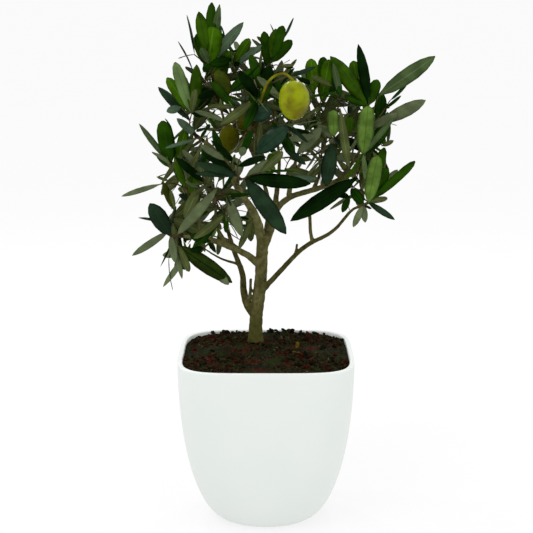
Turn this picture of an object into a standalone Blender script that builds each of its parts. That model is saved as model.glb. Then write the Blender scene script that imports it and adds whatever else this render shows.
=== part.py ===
"""Olive bonsai in a ceramic pot.

The plant is worked out in millimetres and written to its objects in metres.
The origin is the centre of the pot's flat underside, +Z is up and the front of the pot faces -Y.
Limbs are tapering curves.  Each mass of leaves grows from the tip of its own bough: a stem, twigs
that leave the nearest wood, and opposite pairs of leaves, each pair a quarter turn from the last.
"""
import math
import random

import bmesh
import bpy
from mathutils import Matrix, Quaternion, Vector
from mathutils.bvhtree import BVHTree

MM = 0.001
GAP = 0.3

# Pot: a round foot that opens into a rim with a rounded square outline.
POT_HEIGHT = 127.0
RIM_HALF_WIDTH = 65.0
FOOT_RADIUS = 33.0
FOOT_EASE = 1.0
RIM_SQUARENESS = 4.8
SIDE_RISE = 2.15
SIDE_FLARE = 1.87
WALL = 3.5
LIP_ROUND = 1.2
POT_FLOOR = 6.0
POT_SEGMENTS = 36
POT_LEVELS = (0.04, 0.10, 0.18, 0.28, 0.40, 0.54, 0.70, 0.86)

# Soil: fills the pot and rises to a small level place under the trunk.
SOIL_EDGE_DEPTH = 4.0
TRUNK_FOOT = (-8.0, 15.0)
SOIL_TOP = 129.7
SOIL_PLATEAU = 9.0
SOIL_STEPS = 4
SOIL_PLAY = 0.1

# Root flare of the trunk.
FLARE_HEIGHT = 13.0
FLARE_LOBES = 5
FLARE_DEPTH = 0.16

# Leaves and twigs.
LEAF_WIDTH_SHARE = 0.25
LEAF_THICKNESS = 0.9
LEAF_BEND = 0.07
LEAF_ARCH = 0.35
LEAF_RIDGE = -0.4
HALF_HEXAGON = math.sin(math.radians(60))
LEAF_ROOT = 0.6
JOINT_DETAILS = (0.5, 0.47, 0.53, 0.56, 0.44, 0.59, 0.41, 0.62, 0.65, 0.68, 0.72, 0.76, 0.8, 0.85, 0.9, 1.0)
SCRAP_VOLUME = 1.0
FULLNESS = 0.9
TAPER = 0.12
CROWD_MARGIN = 0.1
CROWD_START = 0.2
INTERNODE = 10.0
PAIR_LENGTHS = (0.82, 1.0, 0.95, 0.85)
YOUNG_SPLAY = 24.0
SPLAY_STEP = 17.0
LEAF_DROOP = 0.10
TURN_DRIFT = 14.0
SPLAY_DRIFT = 7.0
ROLL_DRIFT = 25.0
SIZE_DRIFT = (0.9, 1.06)
FRONT = (0.0, -1.0, 0.25)
TRIES = 4
TWIG_TIP = 0.55
TWIG_TAPER = 0.012
TWIG_SHARE = 0.8
TURN_COST = 1.7
ELBOW_AHEAD = 0.35
ELBOW_ASIDE = 0.15
FRUIT_WIDTH = 21.0
FRUIT_HEIGHT = 27.0
FRUIT_TAPER = 0.06
STALK_RADIUS = 0.9
STALK_SUNK = 1.5
STEM_REACH = (0.0, 3.0, 7.0)
STEM_TAPER = 0.02
ROOT_REACH = 9.0
ROOT_SUNK = 0.5
TIP_STEP = 0.4
FILL_REACH = 0.3
FILL_LEAF = 30.0

# Limbs: x, y, z and radius at a few places, from the carrier outwards, and the sides of the tube.
LIMBS = {
    "trunk": (12, [(-8, 15, 130, 6.4), (-8, 15, 136, 5.5), (-7, 14, 153, 4.9), (-4, 14, 178, 4.8),
                   (-3, 12, 200, 4.5), (-2, 12, 213, 4.7)]),
    "upper_left_bough": (8, [(-3, 12, 208, 3.9), (-8, 9, 228, 3.3), (-20, 3, 248, 2.9),
                             (-28, -4, 267, 2.9), (-40, -8, 281, 2.5), (-47, -10, 287, 1.6)]),
    "right_bough": (8, [(-2, 13, 204, 3.8), (3, 15, 215, 3.2), (8, 18, 231, 2.8),
                        (19, 17, 241, 2.6), (41, 10, 249, 2.5), (66, 3, 261, 2.3), (77, 0, 264, 2)]),
    "left_bough": (8, [(-4, 13, 189, 3.4), (-14, 5, 199, 2.6), (-29, -5, 208, 2.5),
                       (-44, -14, 215, 2.1), (-62, -22, 218, 1.4)]),
    "low_left_stem": (8, [(-7, 15, 148, 3.3), (-14, 16, 158, 3), (-17, 19, 169, 2.7),
                          (-18, 24, 181, 2.3), (-24, 31, 196, 1.9), (-30, 38, 214, 1.5)]),
    "low_right_bough": (8, [(-4, 13, 169, 2.6), (5, 7, 180, 2.2), (27, -6, 206, 2),
                            (48, -15, 220, 1.7), (61, -21, 236, 1.5), (67, -24, 240, 1.3)]),
    "back_bough": (8, [(-3, 12, 207, 3), (1, 24, 217, 2.6), (1, 44, 238, 2.2), (-12, 62, 272, 1.6)]),
    "top_left_bough": (6, [(-28, -3, 264, 1.9), (-28, 4, 288, 1.6), (-34, 2, 312, 1.3)]),
    "centre_bough": (6, [(6, 18, 231, 2.5), (8, 22, 243, 2.2), (10, 28, 267, 1.6), (7, 26, 291, 1.3)]),
    "centre_right_bough": (6, [(17, 17, 242, 2.1), (19, 10, 256, 1.8), (22, 4, 270, 1.6),
                               (28, -2, 289, 1.3)]),
    "left_rising_bough": (6, [(-46, -14, 215, 1.6), (-50, -12, 231, 1.4), (-56, -10, 246, 1.2)]),
    "inner_left_bough": (6, [(-28, -5, 208, 1.9), (-36, -6, 222, 1.6), (-37, -10, 240, 1.2)]),
    "front_bough": (6, [(-21, 2, 250, 1.8), (-20, -16, 258, 1.5), (-18, -34, 261, 1.2)]),
    "middle_bough": (6, [(-31, -5, 271, 1.7), (-21, -16, 284, 1.4), (-12, -30, 296, 1.2)]),
    "right_rising_bough": (6, [(56, 6, 257, 1.9), (66, -4, 274, 1.5), (72, -8, 288, 1.2)]),
    "back_right_bough": (6, [(36, 11, 249, 1.8), (40, 34, 254, 1.5), (42, 52, 262, 1.2)]),
}
PATH_STEPS = 3
STUB_SIDES = 6

# Dead and cut stubs that stand on a limb, from its middle outwards.
STUBS = {
    "low_left_stem": [[(-14, 16, 158, 1.8), (-12, 14, 168, 1.3), (-11.5, 15, 179, 1.1)],
                      [(-22, 27, 188, 1.2), (-34, 12, 195, 0.9), (-48, -4, 207, 0.7)]],
    "low_right_bough": [[(34, -9, 211, 1.6), (32.5, -10, 220, 1.4), (32, -10, 231, 1.3)],
                        [(20, -2, 198, 1.3), (22, -3, 203, 1.1), (23, -4, 209, 0.9)]],
    "right_bough": [[(66, 3, 261, 1.6), (70, 4, 266, 1.4), (72, 4, 272, 1.2)]],
}

# Masses of leaves.  Each has its bough, the two corners of its space, its shoots as tip, pairs of
# leaves, length of leaf and turn about the shoot, and its single leaves as root, tip, width and roll.
# A roll of 0 shows the upper side to the front and 180 the underside.
# A fruit is given as its centre, its share of full size and the places of its stalk.
MASSES = {
    "leaves_top_left": {
        "bough": "top_left_bough", "seed": 3, "fill": 2,
        "space": ((-60, -34, 302), (-12, 46, 368)),
        "shoots": [((-41, -11, 341), 1, 30, 80), ((-47, 6, 324), 2, 30, 40), ((-38, 26, 328), 3, 34, 10),
                   ((-30, -12, 324), 1, 28, 20), ((-24, 26, 322), 2, 34, 60)],
        "leaves": [((-42, -15, 350), (-47, -18, 377), 9, 0), ((-39, -8, 342), (-38, -2, 384), 8, 10),
                   ((-40, -10, 340), (-34, -9, 382), 7, 200), ((-48, -6, 340), (-49, -8, 362), 7, 10),
                   ((-51, -8, 347), (-54, -10, 375), 7, 80), ((-53, 0, 336), (-62, 2, 357), 6, 75),
                   ((-36, -12, 340), (-16, -14, 369), 8, 180), ((-34, 0, 349), (-31, 2, 367), 5, 60),
                   ((-45, 0, 339), (-50, 6, 361), 9, 15), ((-41, -10, 338), (-37, -9, 365), 12, 0),
                   ((-36, -6, 337), (-25, -8, 349), 9, 0), ((-27, -4, 326), (-28, -4, 344), 6, 20)],
    },
    "leaves_left_upper": {
        "bough": "upper_left_bough", "seed": 5, "fill": 3,
        "space": ((-72, -34, 284), (-30, 48, 336)),
        "shoots": [((-53, -14, 306), 1, 28, 70), ((-42, -12, 304), 2, 28, 30), ((-44, 16, 311), 2, 34, 30),
                   ((-52, 28, 302), 2, 34, 0)],
        "leaves": [((-54, -14, 306), (-65, -16, 342), 8.5, 190), ((-54, -12, 304), (-71, -8, 331), 8, 0),
                   ((-51, -16, 310), (-49, -20, 340), 10, 0), ((-56, -8, 303), (-77, -2, 325), 8, 30),
                   ((-61, -12, 310), (-71, -18, 307), 6, 180), ((-49, -14, 290), (-64, -20, 303), 6, 175),
                   ((-49, -18, 289), (-76, -24, 256), 4.5, 160)],
    },
    "leaves_left": {
        "bough": "left_rising_bough", "seed": 8, "fill": 3,
        "space": ((-82, -34, 234), (-36, 58, 294)),
        "shoots": [((-69, -10, 269), 1, 26, 60), ((-58, -9, 260), 2, 26, 20), ((-64, 28, 258), 3, 34, 40),
                   ((-56, 40, 246), 2, 34, 80), ((-62, 10, 250), 2, 30, 30)],
        "leaves": [((-67, -10, 271), (-92, -6, 297), 6, 195), ((-68, -12, 271), (-74, -14, 300), 12, 0),
                   ((-64, -10, 264), (-58, -8, 295), 8, 0), ((-47, -22, 281), (-56, -18, 260), 4.5, 170),
                   ((-47, -14, 264), (-46, -16, 277), 5, 180), ((-76, -16, 255), (-104, -20, 247), 4, 165),
                   ((-55, 2, 245), (-51, 2, 267), 8, 0)],
    },
    "leaves_low_left": {
        "bough": "left_bough", "seed": 13, "fill": 2,
        "space": ((-82, -46, 186), (-22, 46, 250)),
        "shoots": [((-70, -24, 222), 1, 28, 30), ((-64, -24, 212), 1, 28, 70), ((-66, 12, 226), 3, 34, 20),
                   ((-62, 22, 206), 2, 34, 60), ((-68, -4, 214), 2, 30, 0)],
        "leaves": [((-66, -22, 237), (-73, -26, 258), 6, 20), ((-63, -22, 236), (-68, -26, 253), 4, 170),
                   ((-68, -24, 219), (-82, -32, 243), 12.5, 10),
                   ((-74, -22, 220), (-96, -30, 205), 5.5, 180), ((-78, -24, 226), (-91, -28, 234), 4, 65),
                   ((-69, -26, 219), (-65, -30, 200), 6, 180), ((-65, -26, 217), (-61, -30, 188), 4.5, 160),
                   ((-60, -30, 214), (-25, -38, 187), 11.5, 10),
                   ((-56, -26, 207), (-74, -28, 182), 4.5, 180), ((-42, -26, 200), (-27, -32, 184), 7, 180),
                   ((-40, -32, 216), (-54, -34, 221), 7, 10)],
    },
    "leaves_inner_left": {
        "bough": "inner_left_bough", "seed": 21, "fill": 3,
        "space": ((-64, -62, 212), (-6, 6, 286)),
        "shoots": [((-48, -26, 254), 2, 30, 30), ((-44, -32, 266), 2, 30, 70), ((-28, -26, 248), 1, 26, 20),
                   ((-30, -10, 232), 1, 24, 50)],
        "leaves": [((-34, -34, 255), (-62, -54, 224), 8, 180), ((-28, -22, 241), (-17, -30, 219), 8, 180),
                   ((-48, -24, 252), (-58, -30, 232), 8, 180), ((-10, -8, 228), (-18, -12, 230), 5, 160),
                   ((-14, -8, 228), (-20, -12, 206), 5, 180)],
    },
    "leaves_front": {
        "bough": "front_bough", "seed": 34, "fill": 0,
        "space": ((-46, -80, 236), (24, -30, 300)),
        "shoots": [((-29, -44, 276), 2, 28, 50), ((-3, -48, 268), 1, 30, 20), ((-17, -56, 280), 2, 28, 70)],
        "leaves": [((-17, -45, 264), (30, -58, 261), 10.5, 10), ((-16, -45, 263), (13, -70, 229), 12.5, 5),
                   ((-20, -44, 266), (-48, -50, 275), 8, 10), ((-22, -44, 264), (-49, -50, 268), 6, 20),
                   ((-14, -42, 265), (8, -48, 277), 9, 195), ((-17, -40, 266), (-21, -40, 277), 8, 180),
                   ((13, -34, 262), (36, -36, 261), 6, 165)],
    },
    "leaves_middle": {
        "bough": "middle_bough", "seed": 55, "fill": 4,
        "space": ((-40, -84, 276), (40, -12, 344)),
        "shoots": [((-5, -48, 314), 2, 28, 40), ((-22, -42, 312), 1, 28, 70), ((14, -40, 300), 2, 28, 20),
                   ((12, -32, 284), 2, 28, 60), ((-8, -54, 332), 0, 0, 0)],
        "leaves": [((-14, -50, 307), (4, -57, 311), 14, 20), ((-7, -50, 281), (14, -58, 300), 12.5, 0),
                   ((-32, -44, 300), (-9, -50, 316), 7, 180), ((16, -48, 334), (35, -42, 339), 5, 60),
                   ((7, -44, 306), (16, -48, 282), 6, 40), ((-2, -42, 303), (-7, -46, 278), 5.5, 180),
                   ((-26, -40, 321), (-34, -38, 338), 11, 0)],
        "fruit": [((19, -66, 319), 1, [(-4, -52, 316), (1, -60, 330), (8, -65, 336), (14, -66, 336)]),
                  ((-13, -12, 299), 0.85, [(-9, -35, 303), (-10, -28, 311), (-12, -19, 314)]),
                  ((-30, -24, 292), 0.8, [(-24, -34, 304), (-29, -28, 308)])],
    },
    "leaves_centre_top": {
        "bough": "centre_bough", "seed": 89, "fill": 1,
        "space": ((-34, -30, 288), (28, 56, 362)),
        "shoots": [((-23, -5, 339), 1, 26, 30), ((2, 2, 336), 1, 26, 60), ((-3, -14, 324), 2, 28, 10),
                   ((-10, 28, 330), 3, 34, 45), ((8, 36, 322), 2, 34, 0), ((16, 14, 316), 2, 30, 70)],
        "leaves": [((-18, -8, 342), (-12, -10, 358), 8.5, 0), ((-21, -12, 340), (-2, -14, 354), 5, 180),
                   ((-4, 2, 341), (-1, 2, 363), 10, 10), ((4, -4, 344), (12, -6, 367), 13, 0),
                   ((4, 2, 342), (19, 4, 357), 9, 10), ((13, 8, 358), (21, 10, 372), 5, 75),
                   ((-6, -16, 323), (3, -16, 339), 11, 0), ((-26, -16, 321), (-4, -18, 338), 9, 20),
                   ((-20, 6, 342), (-34, 12, 363), 5, 50), ((-3, -14, 325), (-10, -16, 347), 9, 30)],
    },
    "leaves_right_top": {
        "bough": "centre_right_bough", "seed": 144, "fill": 3,
        "space": ((10, -46, 250), (64, 46, 338)),
        "shoots": [((40, -4, 314), 1, 26, 80), ((28, 16, 312), 2, 32, 30), ((54, 14, 312), 2, 34, 60),
                   ((28, 4, 296), 2, 28, 10), ((47, -24, 296), 1, 28, 40)],
        "leaves": [((37, -8, 317), (45, -12, 343), 10, 0), ((40, 0, 329), (42, 2, 345), 7.5, 10),
                   ((34, -10, 320), (32, -12, 344), 9.5, 0), ((52, -30, 310), (58, -38, 269), 6.5, 180),
                   ((47, -28, 286), (42, -38, 257), 11, 10), ((44, -26, 291), (47, -32, 309), 9, 0),
                   ((23, -18, 277), (40, -22, 297), 8, 180), ((53, -20, 318), (47, -24, 342), 5, 180),
                   ((14, -9, 265), (38, -6, 256), 9, 180)],
    },
    "leaves_right": {
        "bough": "right_rising_bough", "seed": 233, "fill": 1,
        "space": ((38, -50, 242), (94, 54, 338)),
        "shoots": [((74, -4, 311), 1, 28, 60), ((70, -14, 276), 1, 28, 30), ((82, -4, 298), 2, 28, 10),
                   ((66, 24, 302), 3, 34, 40), ((76, 28, 292), 3, 34, 70)],
        "leaves": [((73, -8, 313), (67, -10, 354), 8.5, 20), ((80, -12, 318), (119, -30, 347), 11, 180),
                   ((85, -10, 299), (114, -25, 316), 9.5, 180), ((90, 0, 314), (104, 4, 326), 4, 60),
                   ((69, -10, 311), (47, -14, 346), 13, 10), ((83, -4, 300), (84, -2, 320), 9.5, 10),
                   ((69, -20, 275), (72, -26, 311), 12.5, 0), ((73, -20, 276), (91, -26, 305), 4.5, 190),
                   ((75, -10, 275), (90, -6, 299), 10, 0), ((65, -20, 260), (18, -48, 235), 12.5, 10),
                   ((76, 0, 314), (81, 2, 329), 8.5, 0), ((67, 4, 325), (63, 4, 342), 8, 0)],
    },
    "leaves_low_right": {
        "bough": "low_right_bough", "seed": 377, "fill": 1,
        "space": ((44, -44, 230), (92, 28, 274)),
        "shoots": [((73, -22, 243), 1, 26, 30), ((64, 6, 250), 2, 28, 60), ((74, 14, 252), 2, 28, 10)],
        "leaves": [((70, -26, 248), (79, -30, 277), 10.5, 0), ((79, -18, 246), (85, -16, 281), 8, 0),
                   ((84, -14, 249), (95, -12, 265), 7, 180), ((78, -20, 244), (106, -28, 272), 6.5, 20),
                   ((77, -22, 239), (92, -28, 231), 4.8, 10), ((70, -26, 241), (62, -32, 226), 5, 180),
                   ((70, -26, 241), (71, -29, 229), 5, 180), ((69.5, -25, 242), (61, -22, 253), 7.5, 0),
                   ((60, -18, 246), (49, -16, 249), 5, 0), ((52, -16, 247), (55, -20, 235), 5, 0),
                   ((72, -23, 245), (87, -22, 267), 9.5, 10)],
    },
    "leaves_back_left": {
        "bough": "low_left_stem", "seed": 610, "fill": 3,
        "space": ((-74, 26, 192), (-2, 98, 262)),
        "shoots": [((-46, 62, 234), 3, 34, 20), ((-56, 50, 226), 2, 34, 60), ((-28, 74, 234), 3, 36, 0),
                   ((-16, 56, 230), 2, 34, 80), ((-42, 58, 212), 2, 32, 40)],
        "leaves": [],
    },
    "leaves_back_top": {
        "bough": "back_bough", "seed": 987, "fill": 3,
        "space": ((-58, 44, 250), (36, 116, 342)),
        "shoots": [((-16, 76, 304), 3, 36, 20), ((2, 62, 314), 3, 34, 60), ((-32, 80, 290), 3, 36, 40),
                   ((14, 82, 296), 3, 36, 0), ((-10, 96, 280), 3, 34, 70), ((-36, 58, 306), 2, 34, 30)],
        "leaves": [],
    },
    "leaves_back_right": {
        "bough": "back_right_bough", "seed": 1597, "fill": 2,
        "space": ((12, 32, 236), (96, 108, 326)),
        "shoots": [((44, 66, 292), 3, 36, 30), ((64, 58, 284), 3, 36, 60), ((28, 82, 272), 3, 36, 0),
                   ((56, 74, 262), 3, 34, 80), ((74, 48, 270), 2, 34, 40)],
        "leaves": [],
    },
}

# Colours and finishes.
LOOKS = {
    "pot": ((0.79, 0.84, 0.80), 0.45),
    "soil": ((0.035, 0.022, 0.016), 0.95),
    "bark": ((0.16, 0.16, 0.13), 0.85),
    "foliage": ((0.05, 0.12, 0.03), 0.45),
}


def start_empty():
    """Remove what the open file holds and make the collections."""
    for old in list(bpy.data.objects):
        bpy.data.objects.remove(old)
    collections = {}
    for name in ("olive_bonsai", "guides"):
        collections[name] = bpy.data.collections.new(name)
        bpy.context.scene.collection.children.link(collections[name])
    return collections


def make_material(name):
    """A plain Principled material with the colour and roughness of one finish."""
    colour, roughness = LOOKS[name]
    finish = bpy.data.materials.new(name)
    finish.use_nodes = True
    shader = finish.node_tree.nodes["Principled BSDF"]
    shader.inputs["Base Color"].default_value = (*colour, 1.0)
    shader.inputs["Roughness"].default_value = roughness
    shader.inputs["Metallic"].default_value = 0.0
    return finish


def evaluated_mesh(shape):
    """The mesh of an object with its curve or modifiers worked out."""
    return bpy.data.meshes.new_from_object(shape.evaluated_get(bpy.context.evaluated_depsgraph_get()))


def add_node(name, mesh, finish, foot, parent):
    """Write a millimetre mesh as an object in metres, with its origin at its foot."""
    mesh.transform(Matrix.Scale(MM, 4) @ Matrix.Translation(-Vector(foot)))
    mesh.materials.clear()
    mesh.materials.append(finish)
    mesh.shade_smooth()
    mesh.set_sharp_from_angle(angle=math.radians(40))
    node = bpy.data.objects.new(name, mesh)
    node.location = Vector(foot) * MM
    node.parent = parent
    parent.users_collection[0].objects.link(node)


def boolean(mesh, others, operation, details=(1.0,)):
    """Join a mesh with others, or cut it by them, in one Boolean, and keep its largest body.

    The faces that the joints add are merged to the first share in details that leaves it whole.
    """
    body = bpy.data.objects.new("body", mesh)
    bpy.context.scene.collection.objects.link(body)
    pieces = bpy.data.collections.new("pieces")
    bpy.context.scene.collection.children.link(pieces)
    for other in others:
        pieces.objects.link(bpy.data.objects.new("piece", other))
    modifier = body.modifiers.new("join", "BOOLEAN")
    modifier.operation = operation
    modifier.operand_type = "COLLECTION"
    modifier.collection = pieces
    modifier.solver = "EXACT"
    simplify = body.modifiers.new("simplify", "DECIMATE")
    for detail in details:
        simplify.ratio = detail
        simplify.show_viewport = detail < 1
        simplify.show_render = detail < 1
        result, whole = largest_body(evaluated_mesh(body))
        if whole:
            break
    for used in [body, *pieces.objects]:
        bpy.data.objects.remove(used)
    bpy.data.collections.remove(pieces)
    return result


def bodies_of(shape):
    """The faces of each closed body, walked over edges that two faces share."""
    bodies = []
    waiting = set(shape.faces)
    while waiting:
        front = [waiting.pop()]
        body = list(front)
        while front:
            for edge in front.pop().edges:
                for face in edge.link_faces:
                    if face in waiting:
                        waiting.remove(face)
                        body.append(face)
                        front.append(face)
        bodies.append(body)
    return sorted(bodies, key=len)


def volume_of(body):
    """The volume inside some triangles; it is negative for a hollow."""
    corners = ([vert.co for vert in face.verts] for face in body)
    return sum(a.dot(b.cross(c)) for a, b, c in corners) / 6


def largest_body(mesh):
    """Drop loose scraps and sealed hollows, and tell whether what is left is sound and whole."""
    shape = bmesh.new()
    shape.from_mesh(mesh)
    bmesh.ops.triangulate(shape, faces=shape.faces)
    bmesh.ops.delete(shape, geom=[edge for edge in shape.edges if not edge.link_faces], context="EDGES")
    touching = any(len(edge.link_faces) != 2 for edge in shape.edges)
    bodies = bodies_of(shape)
    lost = sum(max(0.0, volume_of(body)) for body in bodies[:-1])
    for body in bodies[:-1]:
        bmesh.ops.delete(shape, geom=body, context="FACES")
    shape.to_mesh(mesh)
    shape.free()
    return mesh, lost < SCRAP_VOLUME and not touching


def loft(rings):
    """Close a stack of unlike rings of equal count into one body, from the lowest cap to the last."""
    shape = bmesh.new()
    rows = [[shape.verts.new(point) for point in ring] for ring in rings]
    count = len(rows[0])
    for low, high in zip(rows, rows[1:]):
        for i in range(count):
            j = (i + 1) % count
            shape.faces.new((low[i], low[j], high[j], high[i]))
    shape.faces.new(reversed(rows[0]))
    shape.faces.new(rows[-1])
    bmesh.ops.recalc_face_normals(shape, faces=shape.faces)
    mesh = bpy.data.meshes.new("loft")
    shape.to_mesh(mesh)
    shape.free()
    return mesh


def rounded_square(half_width, squareness, z, centre=(0.0, 0.0)):
    """A ring that is a circle at squareness 2 and a rounded square at higher values."""
    ring = []
    for i in range(POT_SEGMENTS):
        turn = math.tau * (i + 0.5) / POT_SEGMENTS
        c, s = math.cos(turn), math.sin(turn)
        ring.append(Vector((centre[0] + half_width * math.copysign(abs(c) ** (2 / squareness), c),
                            centre[1] + half_width * math.copysign(abs(s) ** (2 / squareness), s), z)))
    return ring


def pot_half_width(level):
    """Outer half width of the pot at a share of its height."""
    swell = (1 - (1 - level) ** SIDE_RISE) ** (1 / SIDE_FLARE)
    return FOOT_RADIUS + (RIM_HALF_WIDTH - FOOT_RADIUS) * swell


def pot_squareness(level):
    return 2 + (RIM_SQUARENESS - 2) * level ** 0.8


def make_pot():
    rings = [rounded_square(FOOT_RADIUS - FOOT_EASE, 2, 0.0)]
    for level in POT_LEVELS:
        rings.append(rounded_square(pot_half_width(level), pot_squareness(level), level * POT_HEIGHT))
    rim = RIM_HALF_WIDTH
    rings.append(rounded_square(rim, RIM_SQUARENESS, POT_HEIGHT - LIP_ROUND))
    rings.append(rounded_square(rim - 0.35 * LIP_ROUND, RIM_SQUARENESS, POT_HEIGHT - 0.35 * LIP_ROUND))
    rings.append(rounded_square(rim - LIP_ROUND, RIM_SQUARENESS, POT_HEIGHT))
    rings.append(rounded_square(rim - WALL + 0.5 * LIP_ROUND, RIM_SQUARENESS, POT_HEIGHT))
    rings.append(rounded_square(rim - WALL, RIM_SQUARENESS, POT_HEIGHT - LIP_ROUND))
    for level in reversed(POT_LEVELS):
        if level * POT_HEIGHT > POT_FLOOR:
            rings.append(rounded_square(pot_half_width(level) - WALL, pot_squareness(level),
                                        level * POT_HEIGHT))
    floor_level = POT_FLOOR / POT_HEIGHT
    rings.append(rounded_square(pot_half_width(floor_level) - WALL, pot_squareness(floor_level), POT_FLOOR))
    return loft(rings)


def make_soil():
    inset = WALL + GAP
    floor = POT_FLOOR + GAP
    floor_level = floor / POT_HEIGHT
    rings = [rounded_square(pot_half_width(floor_level) - inset, pot_squareness(floor_level), floor)]
    edge = POT_HEIGHT - SOIL_EDGE_DEPTH
    for level in POT_LEVELS:
        if floor < level * POT_HEIGHT < edge:
            rings.append(rounded_square(pot_half_width(level) - inset - SOIL_PLAY, pot_squareness(level),
                                        level * POT_HEIGHT))
    rim = pot_half_width(edge / POT_HEIGHT) - inset - SOIL_PLAY
    for step in range(SOIL_STEPS + 1):
        share = step / SOIL_STEPS
        rise = share * share * (3 - 2 * share)
        rings.append(rounded_square(rim + (SOIL_PLATEAU - rim) * share,
                                    RIM_SQUARENESS + (2 - RIM_SQUARENESS) * share,
                                    edge + (SOIL_TOP - edge) * rise,
                                    (TRUNK_FOOT[0] * share, TRUNK_FOOT[1] * share)))
    return loft(rings)


def smooth_path(points, steps=PATH_STEPS):
    """A smooth curve through places given as x, y, z and radius."""
    knots = [Vector(point) for point in points]
    knots = [2 * knots[0] - knots[1], *knots, 2 * knots[-1] - knots[-2]]
    path = []
    for a, b, c, d in zip(knots, knots[1:], knots[2:], knots[3:]):
        for step in range(steps):
            t = step / steps
            path.append(0.5 * (2 * b + (c - a) * t + (2 * a - 5 * b + 4 * c - d) * t ** 2
                               + (3 * b - a - 3 * c + d) * t ** 3))
    return [*path, knots[-2]]


def tube(path, sides, extra=0.0):
    """A tapering limb along a path, with welded flat ends; extra makes it thicker and longer."""
    curve = bpy.data.curves.new("limb", "CURVE")
    curve.dimensions = "3D"
    curve.use_fill_caps = True
    if sides == 3:
        curve.bevel_mode = "OBJECT"
        curve.bevel_object = bpy.data.objects["twig_section"]
    else:
        curve.bevel_depth = 1.0
        curve.bevel_resolution = sides // 2 - 2
    first = path[0].xyz - (path[1].xyz - path[0].xyz).normalized() * extra
    last = path[-1].xyz + (path[-1].xyz - path[-2].xyz).normalized() * extra
    places = [first, *[place.xyz for place in path[1:-1]], last]
    spline = curve.splines.new("POLY")
    spline.points.add(len(path) - 1)
    for point, place, sized in zip(spline.points, places, path):
        point.co = (*place, 1.0)
        point.radius = sized.w + extra
    limb = bpy.data.objects.new("limb", curve)
    bpy.context.scene.collection.objects.link(limb)
    mesh = evaluated_mesh(limb)
    bpy.data.objects.remove(limb)
    bpy.data.curves.remove(curve)
    shape = bmesh.new()
    shape.from_mesh(mesh)
    bmesh.ops.remove_doubles(shape, verts=shape.verts, dist=1e-4)
    shape.to_mesh(mesh)
    shape.free()
    return mesh


def make_twig_section(guides):
    """The three-sided outline that twigs are swept along."""
    outline = bpy.data.curves.new("twig_section", "CURVE")
    outline.dimensions = "2D"
    corners = outline.splines.new("POLY")
    corners.points.add(2)
    corners.use_cyclic_u = True
    for i, point in enumerate(corners.points):
        turn = -math.tau * i / 3
        point.co = (math.cos(turn), math.sin(turn), 0.0, 1.0)
    section = bpy.data.objects.new("twig_section", outline)
    section.hide_render = True
    section.display_type = "WIRE"
    guides.objects.link(section)


def flare_foot(mesh):
    """Spread the foot of the trunk in soft lobes where the roots leave it."""
    for vert in mesh.vertices:
        height = vert.co.z - (SOIL_TOP + GAP)
        if height < FLARE_HEIGHT:
            away = Vector((vert.co.x - TRUNK_FOOT[0], vert.co.y - TRUNK_FOOT[1]))
            lobe = 0.5 + 0.5 * math.cos(FLARE_LOBES * math.atan2(away.y, away.x))
            spread = FLARE_DEPTH * lobe * (1 - height / FLARE_HEIGHT) ** 2
            vert.co.x += away.x * spread
            vert.co.y += away.y * spread


def tree_of(mesh):
    """A search tree over the faces of a mesh."""
    return BVHTree.FromPolygons([vert.co for vert in mesh.vertices],
                                [face.vertices for face in mesh.polygons])


def make_limbs():
    """Every limb as path and mesh; each is cut 0.3 mm clear of the limbs made before it."""
    paths, meshes = {}, {}
    for name, (sides, points) in LIMBS.items():
        paths[name] = smooth_path(points)
        mesh = tube(paths[name], sides)
        if name == "trunk":
            flare_foot(mesh)
        stubs = [tube(smooth_path(stub, 1), STUB_SIDES) for stub in STUBS.get(name, ())]
        if stubs:
            mesh = boolean(mesh, stubs, "UNION")
        tree = tree_of(mesh)
        cutters = []
        for other in meshes:
            thick = tube(paths[other], LIMBS[other][0], GAP)
            if tree.overlap(tree_of(thick)):
                cutters.append(thick)
        meshes[name] = boolean(mesh, cutters, "DIFFERENCE") if cutters else mesh
    return paths, meshes


class Leaf:
    """A flat pointed blade from root to tip, with its upper side along its normal."""

    outline = None

    def __init__(self, root, tip, width, normal, bend=LEAF_BEND):
        self.root, self.tip, self.width, self.bend = Vector(root), Vector(tip), width, bend
        self.along = (self.tip - self.root).normalized()
        self.side = self.along.cross(normal).normalized()
        self.up = self.side.cross(self.along)

    def points(self, margin=0.0, start=0.0):
        """The blade's corners; a margin makes it thicker, a start leaves out the part at the root."""
        length = (self.tip - self.root).length
        places = []
        for across, along, height in self.outline:
            share = start + (1 - start) * (0.5 + 0.5 * along)
            across *= FULLNESS - TAPER * along
            fall = self.bend * length * (share ** 2 - LEAF_ARCH * math.sin(math.pi * share))
            places.append(self.root + self.along * (length * share + margin * along)
                          + self.side * across / HALF_HEXAGON * (self.width / 2 + margin)
                          + self.up * (height * (LEAF_THICKNESS / 2 + margin) - fall))
        return places

    def tree(self, margin=0.0, start=0.0):
        return BVHTree.FromPolygons(self.points(margin, start), self.faces)

    def mesh(self):
        blade = bpy.data.meshes.new("leaf")
        shape = bmesh.new()
        bmesh.ops.create_uvsphere(shape, u_segments=6, v_segments=2, radius=1.0)
        for vert, place in zip(shape.verts, self.points()):
            vert.co = place
        shape.to_mesh(blade)
        shape.free()
        return blade


def learn_leaf_outline():
    """Keep the corners and faces of the six-sided blade that every leaf is shaped from."""
    shape = bmesh.new()
    bmesh.ops.create_uvsphere(shape, u_segments=6, v_segments=2, radius=1.0)
    corners = [vert.co for vert in shape.verts]
    Leaf.outline = [(x, LEAF_RIDGE if abs(z) > 0.5 else y, z) for x, y, z in corners]
    Leaf.faces = [[vert.index for vert in face.verts] for face in shape.faces]
    shape.free()


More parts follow.
